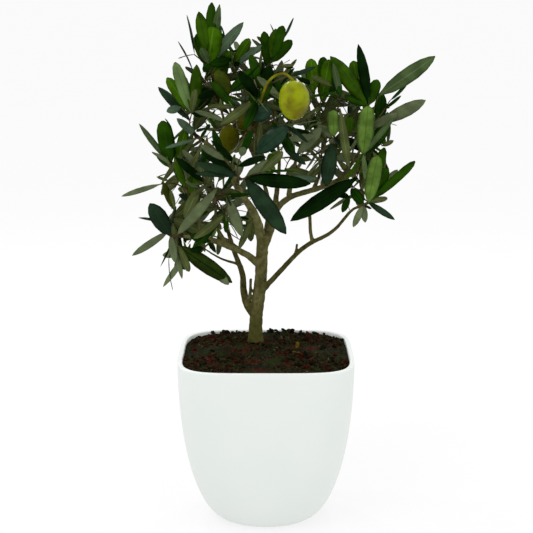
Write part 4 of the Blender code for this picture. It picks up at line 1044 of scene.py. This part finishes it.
class Mass:
    """One mass, grown from its stem within its own space and clear of its neighbours."""

    def __init__(self, name, plan, bough, crowd):
        self.name, self.plan, self.crowd = name, plan, crowd
        self.draw = random.Random(plan["seed"])
        heading = (bough[-1].xyz - bough[-2].xyz).normalized()
        foot = bough[-1].xyz + heading * GAP
        self.wood = [[Vector((*(foot + heading * reach), bough[-1].w - STEM_TAPER * reach))
                      for reach in STEM_REACHES]]
        self.shoots, self.leaves, self.fruit = [], [], []

    def add_twig(self, tip, path=None):
        """A twig to a tip, or along a path, where it keeps clear of the other masses."""
        path = path or twig_path(self.wood, Vector(tip))
        if not self.crowd.takes_twig(self.name, path):
            return None
        self.wood.append(path)
        self.crowd.add_mesh(self.name, tube_mesh([path], 0, twig_section))
        return path

    def add_leaf(self, leaf, seeded=True):
        """Keep a leaf where it has room; a seeded one has to stay in the space too."""
        low, high = self.plan["space"]
        if seeded and not all(low[i] <= point[i] <= high[i] for point in leaf.points() for i in range(3)):
            return False
        if not self.crowd.takes_leaf(self.name, leaf, seeded):
            return False
        self.leaves.append(leaf)
        self.crowd.add(self.name, leaf.points(), leaf.faces)
        return True

    def nearest_wood(self, place):
        return min((point.xyz for path in self.wood for point in path),
                   key=lambda point: (point - place).length)

    def add_fruit(self, centre, size, stalk):
        """An olive that hangs from its stalk, with a twig out to the stalk if it needs one."""
        thick = tree_of(test_olive(centre, size, GAP))
        if any(other != self.name and tree.overlap(thick)
               for other, tree in self.crowd.near([centre], FRUIT_HEIGHT)):
            return
        rooted = (self.nearest_wood(stalk[0]) - stalk[0]).length < ON_THE_WOOD
        if not rooted and self.add_twig(stalk[0]) is None:
            return
        top = centre + Vector((0.0, 0.0, size * FRUIT_HEIGHT / 2 - STALK_DIP))
        stalk_path = smooth_path([(*point, STALK_RADIUS) for point in [*stalk, top]], 2)
        self.add_twig(stalk[-1], stalk_path)
        self.fruit.append((centre, size, stalk_path))
        self.crowd.add_mesh(self.name, test_olive(centre, size))

    def add_single_leaf(self, root, tip, width, roll, tone):
        """A leaf whose place is given, on the nearest wood or on a twig of its own."""
        nearest = self.nearest_wood(root)
        if (nearest - root).length > LEAF_REACH:
            if self.add_twig(root) is None:
                return
            nearest = root
        along = (tip - nearest).normalized()
        facing = Vector((0.0, -1.0, 0.25))
        facing = Quaternion(along, math.radians(roll)) @ (facing - along * facing.dot(along)).normalized()
        self.add_leaf(Blade(nearest - along * LEAF_SINK, tip, width, facing, tone), False)

    def grow_frame(self):
        """The shoots, the fruit and the single leaves, whose places are given."""
        for tip, pairs, length, turn, tone in self.plan["shoots"]:
            path = self.add_twig(tip)
            if path:
                self.shoots.append((path, pairs, length, turn, tone))
        for centre, size, stalk in self.plan.get("fruit", ()):
            self.add_fruit(Vector(centre), size, [Vector(point) for point in stalk])
        for root, tip, width, roll, tone in self.plan["leaves"]:
            self.add_single_leaf(Vector(root), Vector(tip), width, roll, tone)

    def grow_fill(self):
        """Shoots to seeded places in the space, and the pairs of leaves on every shoot."""
        low, high = (Vector(corner) for corner in self.plan["space"])
        for _ in range(self.plan["fill"] * FILL_TRIES):
            if len(self.shoots) >= self.plan["fill"] + len(self.plan["shoots"]):
                break
            spread = Vector([self.draw.uniform(-FILL_SPREAD, FILL_SPREAD) for _ in range(3)])
            tip = (low + high) / 2 + Vector([spread[i] * (high[i] - low[i]) for i in range(3)])
            path = self.add_twig(tip)
            if path:
                self.shoots.append((path, FILL_PAIRS, FILL_LENGTH, self.draw.uniform(0, 90), "d"))
        for path, pairs, length, turn, tone in self.shoots:
            for pair in range(pairs):
                place, axis = along_from_tip(path, PAIR_START + PAIR_APART * pair)
                for side in (0, 1):
                    for _ in range(LEAF_TRIES):
                        leaf = leaf_of_pair(place, axis, pair, side, length, turn, self.draw)
                        leaf.tone = tone if pair == 0 else AGED[tone]
                        if self.add_leaf(leaf):
                            break


# %% Grow the tree
AGED = {"l": "y", "y": "m", "m": "d", "d": "k", "k": "k", "b": "d", "o": "d"}
limb_paths = {name: smooth_path(points) for name, points in LIMBS.items()}
crowd = Crowd()
for name in LIMBS:
    crowd.add_mesh(name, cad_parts[name].data, 1 / MM)
masses = [Mass(name, plan, limb_paths[plan["bough"]], crowd) for name, plan in MASSES.items()]
for mass in masses:
    mass.grow_frame()
for mass in masses:
    mass.grow_fill()
for mass in masses:
    for root, tip, width, roll, tone in mass.plan.get("fine", ()):
        mass.add_single_leaf(Vector(root), Vector(tip), width, roll, tone)
print("twigs", sum(len(mass.wood) for mass in masses), "leaves", sum(len(mass.leaves) for mass in masses),
      "olives", sum(len(mass.fruit) for mass in masses))

# %% [markdown]
# ## Bark
# A young olive has grey-brown bark with shallow cracks that run along each limb, small corky dots
# and knots where twigs were cut.  Overlapping tubes would show hard seams at the forks, so all
# limbs are swept at once and remeshed into one skin, which rounds the forks.  Each bough is slimmed
# towards its end, and the cracks are then pressed in along each limb's own direction.  Light and
# shade are painted into the bark as an attribute that goes with each limb: the upper left bough,
# which stands in the light, is painted lighter, and the low limbs under the crown are painted darker
# as a painted shade.

# %% Limbs as one skin
SKIN_VOXEL, SKIN_SOFTENING, BARK_STEPS, STUB_STEPS = 0.55, 4, 8, 6
TRUNK_START = [(-8, 15, 127, 6.0), (-8, 15, 130, 5.9)]


def skin_of(mesh):
    """One closed skin round overlapping tubes, softened where they meet."""
    body = bpy.data.objects.new("limbs", mesh)
    bpy.context.scene.collection.objects.link(body)
    remesh = body.modifiers.new("remesh", "REMESH")
    remesh.mode = "VOXEL"
    remesh.voxel_size = SKIN_VOXEL
    soften = body.modifiers.new("soften", "SMOOTH")
    soften.factor = 0.5
    soften.iterations = SKIN_SOFTENING
    skin = bpy.data.meshes.new_from_object(body.evaluated_get(bpy.context.evaluated_depsgraph_get()))
    bpy.data.objects.remove(body)
    return skin


SLIMMING = {"trunk": 0.0, "low_right_bough": 0.3, "low_left_stem": 0.0, "left_bough": 0.1}
# Each limb's painted shade, from 0 for the lit upper left bough to 0.85 for the low right bough; other
# limbs get 0.7.
PAINTED_LIMB_SHADE = {"trunk": 0.35, "upper_left_bough": 0.0, "right_bough": 0.4, "left_bough": 0.3,
            "low_left_stem": 0.8, "low_right_bough": 0.85}
bark_paths, painted_limb_shade = [], []
for name, points in LIMBS.items():
    if name == "trunk":
        points = [*TRUNK_START, *points[1:]]
    path = smooth_path(points, BARK_STEPS)
    for index, place in enumerate(path):
        place.w *= 1 - SLIMMING.get(name, 0.3) * index / (len(path) - 1)
    stubs = STUBS.get(name, ())
    bark_paths += [path, *[smooth_path(stub, STUB_STEPS) for stub in stubs]]
    painted_limb_shade += [PAINTED_LIMB_SHADE.get(name, 0.7)] * (1 + len(stubs))
limb_skin = skin_of(tube_mesh(bark_paths, 4))
print("skin faces", len(limb_skin.polygons))

# %% Grain that follows each limb
LIMB_APART, GRAIN_STEP, SHADE_REACH = 40.0, 0.7, 16.0

grain = []
for number, (path, dark) in enumerate(zip(bark_paths, painted_limb_shade)):
    run = LIMB_APART * number
    for here, after in zip(path, path[1:]):
        step = (after.xyz - here.xyz).length
        count = max(1, round(step / GRAIN_STEP))
        for part in range(count):
            at = here.lerp(after, part / count)
            reach = run - LIMB_APART * number + step * part / count
            shade = PAINTED_LIMB_SHADE["trunk"] + (dark - PAINTED_LIMB_SHADE["trunk"]) * min(1.0, reach / SHADE_REACH)
            grain.append((at.xyz, (after.xyz - here.xyz) / step, reach + LIMB_APART * number, at.w, shade))
        run += step
grain_tree = KDTree(len(grain))
for index, (place, *_) in enumerate(grain):
    grain_tree.insert(place, index)
grain_tree.balance()


def bark_relief(place):
    """How far the bark stands in or out: long shallow cracks, knots and a fine grain."""
    middle, heading, run, radius, _ = grain[grain_tree.find(place)[1]]
    offset = place - middle
    first = (Vector((0, 1, 0)) - heading * heading.y).normalized()
    second = heading.cross(first)
    along = run + offset.dot(heading)
    around = Vector((offset.dot(first), offset.dot(second), 0.20 * along))
    crack = max(0.0, 1 - 5.0 * abs(noise.noise(around * 0.75)))
    lump = noise.noise(Vector((around.x, around.y, 0.5 * along)) * 0.45)
    fine = noise.noise(place * 2.4)
    size = min(1.0, radius / 5.0)
    return -0.30 * size * crack + 0.55 * size * lump + 0.07 * fine


FLARE_HEIGHT, FLARE_LOBES, FLARE_DEPTH, FLARE_REACH, FLARE_FOOT = 9.0, 5, 0.08, 14, 130.0
shades = limb_skin.attributes.new("painted_limb_shade", "FLOAT", "POINT").data
for shade, vert in zip(shades, limb_skin.vertices):
    shade.value = grain[grain_tree.find(vert.co)[1]][4]
for vert, normal in zip(limb_skin.vertices, [vert.normal.copy() for vert in limb_skin.vertices]):
    vert.co += normal * bark_relief(vert.co)
    height = vert.co.z - FLARE_FOOT
    away = vert.co.xy - Vector(TRUNK_FOOT)
    if height < FLARE_HEIGHT and away.length < FLARE_REACH:
        lobe = 0.5 + 0.5 * math.cos(FLARE_LOBES * math.atan2(away.y, away.x))
        vert.co.xy += away * FLARE_DEPTH * (0.3 + 0.7 * lobe) * (1 - max(0.0, height) / FLARE_HEIGHT) ** 2

# %% Bark finish
bark = Finish("olive_bark", (0.13, 0.125, 0.075), 0.85, Specular_IOR_Level=0.03)
height = bark.axis(2)
shade = bark.node("ShaderNodeAttribute", {"attribute_name": "painted_limb_shade"}, {}, 2)
blotch = bark.band(bark.noise(260.0, 4.0), 0.30, 0.70)
# Painted light and shade: a lit and a shaded copy of the bark colour, mixed by each limb's painted shade.
lit_bark_painted = bark.mix(blotch, (0.095, 0.092, 0.030), (0.174, 0.168, 0.066))
shaded_bark_painted = bark.mix(blotch, (0.026, 0.022, 0.003), (0.066, 0.058, 0.014))
bark_with_painted_shade = bark.mix(shade + (bark.noise(90.0, 3.0) - 0.5) * 0.5, lit_bark_painted, shaded_bark_painted)
foot = bark.band((0.172 - height) + (bark.noise(60.0) - 0.5) * 0.03, 0.0, 0.034)
bark_with_painted_shade = bark.mix(foot * 0.8, bark_with_painted_shade, (0.064, 0.062, 0.012))
spots = bark.band(bark.noise(900.0, 2.0), 0.66, 0.72)
bark_with_painted_shade = bark.mix(spots * 0.25, bark_with_painted_shade, (0.26, 0.26, 0.17))
bark.feed("Base Color", bark_with_painted_shade)
bark.bump(bark.noise(1500.0, 5.0, 0.6), 0.0004, 0.6)
put("bark_limbs", limb_skin, [bark], list(LIMBS))

# %% [markdown]
# ## Fine twigs
# Between the shoots of the plan an olive carries short spurs with small leaves.  They grow by the
# same tests from the wood that stands already, so the crown gets finer without getting wider.

# %% Spurs
SPUR_CHANCE, SPUR_FRONT, SPUR_RADII, SPUR_WIDTH = 0.7, -8.0, (0.5, 0.42, 0.3), 1.15

for mass in masses:
    draw = random.Random(mass.plan["seed"] + 1)
    mass.spurs = []
    stalks = [stalk for *_, stalk in mass.fruit]
    for path in list(mass.wood[1:]):
        if any(path is stalk for stalk in stalks) or draw.random() > SPUR_CHANCE or path[-1].y < SPUR_FRONT:
            continue
        place, heading = along_from_tip(path, draw.uniform(4.0, 22.0))
        away = Quaternion(heading, draw.uniform(0, math.tau)) @ heading.orthogonal().normalized()
        aim = (heading * draw.uniform(0.3, 1.0) + away).normalized()
        tip = place + aim * draw.uniform(6.0, 15.0)
        bend = place.lerp(tip, 0.5) + heading * 1.2
        spur = [Vector((*at, radius)) for at, radius in zip((place, bend, tip), SPUR_RADII)]
        if not crowd.takes_twig(mass.name, spur):
            continue
        mass.spurs.append(spur)
        axis = (tip - bend).normalized()
        turn, size = draw.uniform(0, 180), draw.uniform(8.0, 16.0)
        for side in (0, 1):
            leaf = leaf_of_pair(tip - axis * 0.3, axis, 0, side, size, turn, draw)
            leaf.tone = draw.choice("dkdkm")
            leaf.width *= SPUR_WIDTH
            mass.add_leaf(leaf)
print("spurs", sum(len(mass.spurs) for mass in masses), "leaves", sum(len(mass.leaves) for mass in masses))

# %% Fine shoots
# For each mass: the box that the tips stand in, the number of tries and the tones of the leaves.
FINE_SHOOTS = {
    "leaves_top_left": ((-52, -6, 304), (-16, 44, 352), 10, "dzmd"),
    "leaves_left_upper": ((-60, -4, 288), (-32, 44, 330), 10, "dzmv"),
    "leaves_left": ((-72, -6, 238), (-40, 54, 284), 9, "dzmv"),
    "leaves_low_left": ((-62, -4, 192), (-26, 40, 244), 11, "dvwuz"),
    "leaves_inner_left": ((-52, -20, 214), (-26, 4, 262), 7, "zvudm"),
    "leaves_middle": ((-36, -40, 280), (30, -14, 330), 4, "zdvmd"),
    "leaves_centre_top": ((-30, -6, 290), (24, 50, 346), 11, "dzmdv"),
    "leaves_right_top": ((16, -20, 256), (62, 44, 326), 14, "dzmv"),
    "leaves_right": ((40, -10, 246), (88, 50, 316), 12, "dzmv"),
    "leaves_low_right": ((48, -14, 236), (86, 24, 268), 6, "dmk"),
    "leaves_back_left": ((-70, 28, 196), (-4, 96, 260), 15, "dzmvu"),
    "leaves_back_top": ((-54, 46, 254), (34, 112, 338), 26, "dzmvy"),
    "leaves_back_right": ((14, 36, 240), (92, 104, 322), 24, "dzmvy"),
}
NO_SHOOTS = ((0,) * 3, (0,) * 3, 0, "d")
LEAFLESS, FINE_RADIUS, FINE_PAIR_APART = 0.25, 0.62, 7.0
CLEAR_SKY = ((14, 32), 334)


def in_clear_sky(place):
    """True in the notch between the centre top and the right top, which stays open."""
    (left, right), floor = CLEAR_SKY
    return left < place.x < right and place.z > floor


for mass in masses:
    draw = random.Random(mass.plan["seed"] + 3)
    low, high, tries, tones = FINE_SHOOTS.get(mass.name, NO_SHOOTS)
    for _ in range(tries):
        tip = Vector([draw.uniform(low[i], high[i]) for i in range(3)])
        near = mass.nearest_wood(tip)
        tip = near + (tip - near).normalized() * draw.uniform(12.0, 24.0)
        path = twig_path(mass.wood, tip)
        for place in path:
            place.w *= FINE_RADIUS
        if mass.add_twig(tip, path) is None or draw.random() < LEAFLESS:
            continue
        size, turn, tone = draw.uniform(15.0, 27.0), draw.uniform(0, 90), draw.choice(tones)
        for pair in (0, 1):
            place, axis = along_from_tip(path, PAIR_START + FINE_PAIR_APART * pair)
            for side in (0, 1):
                leaf = leaf_of_pair(place, axis, pair, side, size, turn, draw)
                leaf.tone = tone
                if not in_clear_sky(leaf.tip):
                    mass.add_leaf(leaf)
print("with fine shoots: leaves", sum(len(mass.leaves) for mass in masses))

# %% Tip leaves
BUD_START, BUD_FOLD = 0.2, 0.6

for mass in masses:
    draw = random.Random(mass.plan["seed"] + 2)
    mass.buds = []
    for path, pairs, length, turn, tone in mass.shoots:
        if pairs == 0:
            continue
        tip, axis = along_from_tip(path, BUD_START)
        for side in (0, 1):
            bud = leaf_of_pair(tip, axis, 0, side, draw.uniform(5.0, 9.0), turn + 90, draw)
            bud.tip = tip + (bud.tip - tip).lerp(axis * bud.length, BUD_FOLD)
            mass.buds.append(Blade(bud.root, bud.tip, bud.width, bud.up, "y" if tone in "yl" else "l"))

# %% Twig mesh and finish
TIP_SLIMMING, SHAKE, SHAKE_SCALE, NOISE_SEED = 0.3, 0.25, 0.11, 7

# Noise vectors follow the clock unless they are seeded, and each run has to give the same twigs.
noise.seed_set(NOISE_SEED)


def bent(path):
    """A twig's path with more places and a slimmer tip."""
    fine = smooth_path([tuple(point) for point in path], 3)
    for index, point in enumerate(fine):
        point.w *= 1 - TIP_SLIMMING * index / (len(fine) - 1)
        if 0 < index < len(fine) - 1:
            point.xyz += noise.noise_vector(point.xyz * SHAKE_SCALE) * SHAKE
    return fine


old_twigs, young_twigs, dead_twigs = [], [], []
for mass in masses:
    first, second = mass.wood[0][:2]
    old_twigs.append([Vector((*(first.xyz * 2 - second.xyz), first.w * 0.9)), *mass.wood[0]])
    kinds = {id(path): young_twigs for path, pairs, length, turn, tone in mass.shoots if tone in "yl"}
    kinds.update((id(path), dead_twigs) for path, pairs, *_ in mass.shoots if pairs == 0)
    kinds.update((id(stalk), []) for *_, stalk in mass.fruit)
    for path in mass.wood[1:]:
        kinds.get(id(path), old_twigs).append(bent(path))
    old_twigs += mass.spurs


def twig_finish(name, dark, light):
    """Thin bark that drifts between two colours, with a fine grain."""
    finish = Finish(name, light, 0.8, Specular_IOR_Level=0.03)
    return drifting(finish, dark, light, (160.0, 4.0), (1500.0, 3.0), 0.0003, 0.5)


mass_nodes = list(MASSES)
for name, paths, dark, light, slot in (
        ("old_twig", old_twigs, (0.020, 0.010, 0.004), (0.085, 0.068, 0.030), "bark"),
        ("dead_twig", dead_twigs, (0.110, 0.090, 0.055), (0.180, 0.150, 0.095), "bark"),
        ("young_twig", young_twigs, (0.060, 0.075, 0.020), (0.130, 0.160, 0.050), "foliage")):
    put(name + "s", tube_mesh(paths, 1), [twig_finish(name, dark, light)], mass_nodes)

# %% [markdown]
# ## Leaves
# An olive leaf is a narrow leathery blade: dark and smooth above, silver-grey below, with a pale
# midrib and edges that curl down.  Young leaves are brighter and blunter.  One template of seventy
# faces has an upper and a lower side that share their rim and a narrow column for the midrib, and
# every leaf is that template laid along its own spine.  Colour is dealt out leaf by leaf as
# plain finishes, because that survives the export better than a pattern does.

# %% Leaf template
COLUMNS = (-1.0, -0.56, -0.075, 0.075, 0.56, 1.0)
ROWS = (0.0, 0.08, 0.22, 0.42, 0.62, 0.80, 0.93, 1.0)
MATURE = (0.12, 0.28, 0.74, 0.98, 1.00, 0.80, 0.43, 0.05)
BLUNT = (0.12, 0.32, 0.80, 1.00, 1.02, 0.95, 0.66, 0.16)
HALF_BLADE, RIB_SHARE, WAVES, WAVE_HEIGHT = 0.17, 0.6, 9, 0.02
UPPER, LOWER, UPPER_RIB, LOWER_RIB = range(4)


def leaf_template():
    """Two small grids, one above the other, that are merged along their rim."""
    shape = bmesh.new()
    bmesh.ops.create_grid(shape, x_segments=len(COLUMNS) - 1, y_segments=len(ROWS) - 1, size=1.0)
    copy = bmesh.ops.duplicate(shape, geom=shape.faces[:])["geom"]
    lower = [part for part in copy if isinstance(part, bmesh.types.BMFace)]
    bmesh.ops.reverse_faces(shape, faces=lower)
    for face in shape.faces:
        rib = abs(face.calc_center_median().x) < 0.1
        upper_kind, lower_kind = (UPPER_RIB, LOWER_RIB) if rib else (UPPER, LOWER)
        face.material_index = lower_kind if face in lower else upper_kind
    under = {vert for face in lower for vert in face.verts}
    for vert in shape.verts:
        if abs(vert.co.x) < 0.99 and abs(vert.co.y) < 0.99:
            vert.co.z = -1.0 if vert in under else 1.0
    bmesh.ops.remove_doubles(shape, verts=shape.verts, dist=1e-4)
    return mesh_of(shape, "leaf_template")


template = leaf_template()
template_kinds = [face.material_index for face in template.polygons]
print("leaf template faces", len(template.polygons))


def lay_leaf(shape, leaf, slots, look):
    """Add the template to a shape and lay it along a leaf's spine."""
    shape.from_mesh(template)
    shape.verts.ensure_lookup_table()
    shape.faces.ensure_lookup_table()
    widths = BLUNT if leaf.tone in "ylm" else MATURE
    curl, twist, wave = look.uniform(0.06, 0.24), look.uniform(-0.28, 0.28), look.uniform(0, math.tau)
    for vert in shape.verts[-len(template.vertices):]:
        across = COLUMNS[round((vert.co.x + 1) / 2 * (len(COLUMNS) - 1))]
        row = round((vert.co.y + 1) / 2 * (len(ROWS) - 1))
        share, layer = ROWS[row], vert.co.z
        reach = across * widths[row] * leaf.width / 2
        turn = twist * share
        side = leaf.side * math.cos(turn) + leaf.up * math.sin(turn)
        up = leaf.up * math.cos(turn) - leaf.side * math.sin(turn)
        ripple = WAVE_HEIGHT * leaf.width * math.sin(WAVES * share + wave) * across
        height = -curl * abs(reach * across) + ripple
        thick = HALF_BLADE * layer * (RIB_SHARE if abs(across) < 0.1 and layer > 0 else 1.0)
        vert.co = leaf.spine(share) + side * reach + up * (height + thick)
    for face, kind in zip(shape.faces[-len(template_kinds):], template_kinds):
        face.material_index = slots[kind]


# %% Leaf finishes
# Each tone: its name, the colour of the upper side and the letter of its underside.
TONES = {"y": ("bright", (0.0320, 0.0850, 0.0012), "p"), "l": ("pale", (0.0900, 0.1600, 0.0280), "p"),
         "m": ("green", (0.0120, 0.0430, 0.0004), "v"), "d": ("dark", (0.0060, 0.0280, 0.0005), "u"),
         "k": ("black_green", (0.0022, 0.0112, 0.0010), "v"), "b": ("blue", (0.0115, 0.0275, 0.0120), "u"),
         "o": ("turning", (0.0330, 0.0440, 0.0030), "v"), "u": ("deep", (0.0060, 0.0270, 0.0012), "u"),
         "v": ("inner", (0.0080, 0.0300, 0.0010), "v"), "g": ("outer", (0.0060, 0.0280, 0.0020), "g"),
         "w": ("high", (0.0050, 0.0260, 0.0030), "w"), "j": ("glossy", (0.0090, 0.0340, 0.0150), "u"),
         "z": ("olive_green", (0.0240, 0.0620, 0.0012), "v"),
         "q": ("turning_dark", (0.0150, 0.0280, 0.0030), "v")}
# The blue in the colours of b and j, and of their midribs, is a painted reflection of the sky; their gloss
# is real.
GLOSS = {"b": (0.03, 0.5), "j": (0.12, 0.3)}
UNDERSIDES = {"p": ("young", (0.1150, 0.1850, 0.0580)), "u": ("silver", (0.1020, 0.1280, 0.0600)),
              "v": ("olive", (0.0640, 0.0800, 0.0220)), "g": ("green", (0.0540, 0.0900, 0.0300)),
              "w": ("blue", (0.0600, 0.1000, 0.0580))}


def leaf_finish(name, colour, spread=0.3, gloss=0.012, roughness=0.5):
    """A leathery surface whose colour drifts a little from leaf to leaf."""
    finish = Finish(name, colour, roughness, Specular_IOR_Level=gloss)
    return drifting(finish, times(colour, 1 - spread), times(colour, 1 + spread),
                    (95.0, 3.0), (1400.0, 3.0), 0.0002, 0.3)


uppers = {tone: leaf_finish(name + "_leaf", colour, 0.3, *GLOSS.get(tone, ()))
          for tone, (name, colour, under) in TONES.items()}
undersides = {tone: leaf_finish(name + "_underside", colour, 0.2, 0.012, 0.7)
              for tone, (name, colour) in UNDERSIDES.items()}
ribs = {"dark": leaf_finish("midrib_above_dark", (0.003, 0.013, 0.0015), 0.2),
        "blue": leaf_finish("midrib_above_blue", (0.014, 0.033, 0.015), 0.2),
        "old": leaf_finish("midrib_above", (0.018, 0.046, 0.006), 0.2),
        "young": leaf_finish("midrib_above_young", (0.060, 0.128, 0.009), 0.2),
        "below": leaf_finish("midrib_below", (0.100, 0.122, 0.064), 0.15)}

# %% Leaves as joined pieces
RIB_OF = {"y": "young", "l": "young", "k": "dark", "d": "dark", "b": "blue", "j": "blue", "q": "dark"}


def leaf_piece(name, tones, leaves):
    """All leaves of some tones, joined into one piece with a finish for each."""
    finishes = [uppers[tone] for tone in tones] + list(undersides.values()) + list(ribs.values())
    below = {tone: len(tones) + index for index, tone in enumerate(undersides)}
    rib = {kind: len(tones) + len(undersides) + index for index, kind in enumerate(ribs)}
    look = random.Random(len(name))
    shape = bmesh.new()
    for leaf in leaves:
        if leaf.tone in tones:
            upper_rib = rib[RIB_OF.get(leaf.tone, "old")]
            lay_leaf(shape, leaf, (tones.index(leaf.tone), below[TONES[leaf.tone][2]], upper_rib,
                                   rib["below"]), look)
    put(name, mesh_of(shape, name), finishes, mass_nodes)


all_leaves = [leaf for mass in masses for leaf in mass.leaves + mass.buds]
leaf_piece("young_leaves", "yl", all_leaves)
leaf_piece("green_leaves", "mbozq", all_leaves)
leaf_piece("dark_leaves", "dkj", all_leaves)
leaf_piece("turned_leaves", "uvgw", all_leaves)

# %% [markdown]
# ## Olives
# Three table olives hang in the middle of the crown, one in full view.  An olive is an egg with a
# small point below and a dimple above, where the stalk sits in its cup.  The skin is waxy: it is
# smooth enough to mirror the small lamps as sharp lights, and a few dark specks lie over it.  Its
# colour carries painted light and shade: lighter on the upper left and darker and browner towards
# the lower right.  The two inner olives are browner and also painted darker, as a painted shade
# from the leaves over them.

# %% Olive and stalk
OLIVE_POINT, OLIVE_DIMPLE, OLIVE_NARROW, OLIVE_LUMPS = 0.015, 0.07, 0.04, 0.22
CALYX_DIP, CALYX_BELOW, CALYX_ABOVE, CALYX_DEPTH = 0.75, 1.9, 1.0, 0.9


def add_olive(shape, centre, size):
    """A smooth olive with a point below, a dimple above and a faint unevenness."""
    made = bmesh.ops.create_uvsphere(shape, u_segments=40, v_segments=26, radius=1.0)["verts"]
    for vert in made:
        vert.co.z *= 1 + OLIVE_POINT * math.exp(-vert.co.xy.length_squared / 0.01) * (vert.co.z < 0)
        if vert.co.z > 0:
            vert.co.z -= OLIVE_DIMPLE * math.exp(-vert.co.xy.length_squared / 0.03)
    shape_olive(made, centre, size, 0.0, OLIVE_NARROW)
    for vert in made:
        vert.co += (vert.co - Vector(centre)).normalized() * OLIVE_LUMPS * noise.noise(vert.co * 0.16)


def add_calyx(shape, centre, size):
    """The small cup that holds an olive to its stalk."""
    top = Vector(centre) + Vector((0, 0, size * FRUIT_HEIGHT / 2 - CALYX_DIP))
    bmesh.ops.create_cone(shape, cap_ends=True, segments=12, radius1=CALYX_BELOW, radius2=CALYX_ABOVE,
                          depth=CALYX_DEPTH, matrix=Matrix.Translation(top))


def olive_finish(name, centre, skin, shade, dots, gloss):
    """Waxy skin that drifts from green to brown in patches, with painted light and shade on top: lighter on
    its upper left and darker towards the lower right, with a few dark specks.
    """
    finish = Finish(name, skin, 0.17, Specular_IOR_Level=gloss)
    across = finish.axis(0) - centre.x * MM
    above = finish.axis(2) - centre.z * MM
    # The noise patches are the skin's own drift; the slope across and up is painted light and shade.
    drift = finish.band(finish.noise(90.0, 4.0) + across * 16.0 - above * 9.0, 0.36, 0.74)
    skin_with_painted_shade = finish.mix(drift, skin, shade)
    freckles = finish.band(finish.noise(650.0, 1.0), 0.70, 0.74)
    finish.feed("Base Color", finish.mix(freckles * 0.6, skin_with_painted_shade, dots))
    finish.bump(finish.noise(600.0, 2.0), 0.0001, 0.3)
    return finish


fruit = [item for mass in masses for item in mass.fruit]
bright_olive = olive_finish("ripe_olive", fruit[0][0], (0.240, 0.285, 0.000), (0.115, 0.098, 0.000),
                            (0.080, 0.060, 0.002), 0.11)
# The inner olives are browner, and darker still as a painted shade from the leaves over them.
brown_and_shaded_olive = olive_finish("shaded_olive", fruit[1][0], (0.060, 0.064, 0.000), (0.028, 0.026, 0.000),
                           (0.020, 0.014, 0.001), 0.03)
stalk_finish = twig_finish("olive_stalk", (0.100, 0.095, 0.004), (0.210, 0.200, 0.010))
for name, olives, finish in (("front_olive", fruit[:1], bright_olive),
                             ("inner_olives", fruit[1:], brown_and_shaded_olive)):
    shape = bmesh.new()
    for centre, size, stalk in olives:
        add_olive(shape, centre, size)
    put(name, mesh_of(shape, name), [finish], mass_nodes)
stalks = bmesh.new()
stalks.from_mesh(tube_mesh([smooth_path([tuple(point) for point in stalk], 3) for *_, stalk in fruit], 2))
for centre, size, stalk in fruit:
    add_calyx(stalks, centre, size)
put("olive_stalks", mesh_of(stalks, "olive_stalks"), [stalk_finish], mass_nodes)

# %% [markdown]
# ## The last step
# The dressed plant must not be larger than the imported solids.  Here the outline of the test twigs
# is removed and the scene is brought up to date.

# %% Remove the twig outline and finish
bpy.data.objects.remove(twig_section)
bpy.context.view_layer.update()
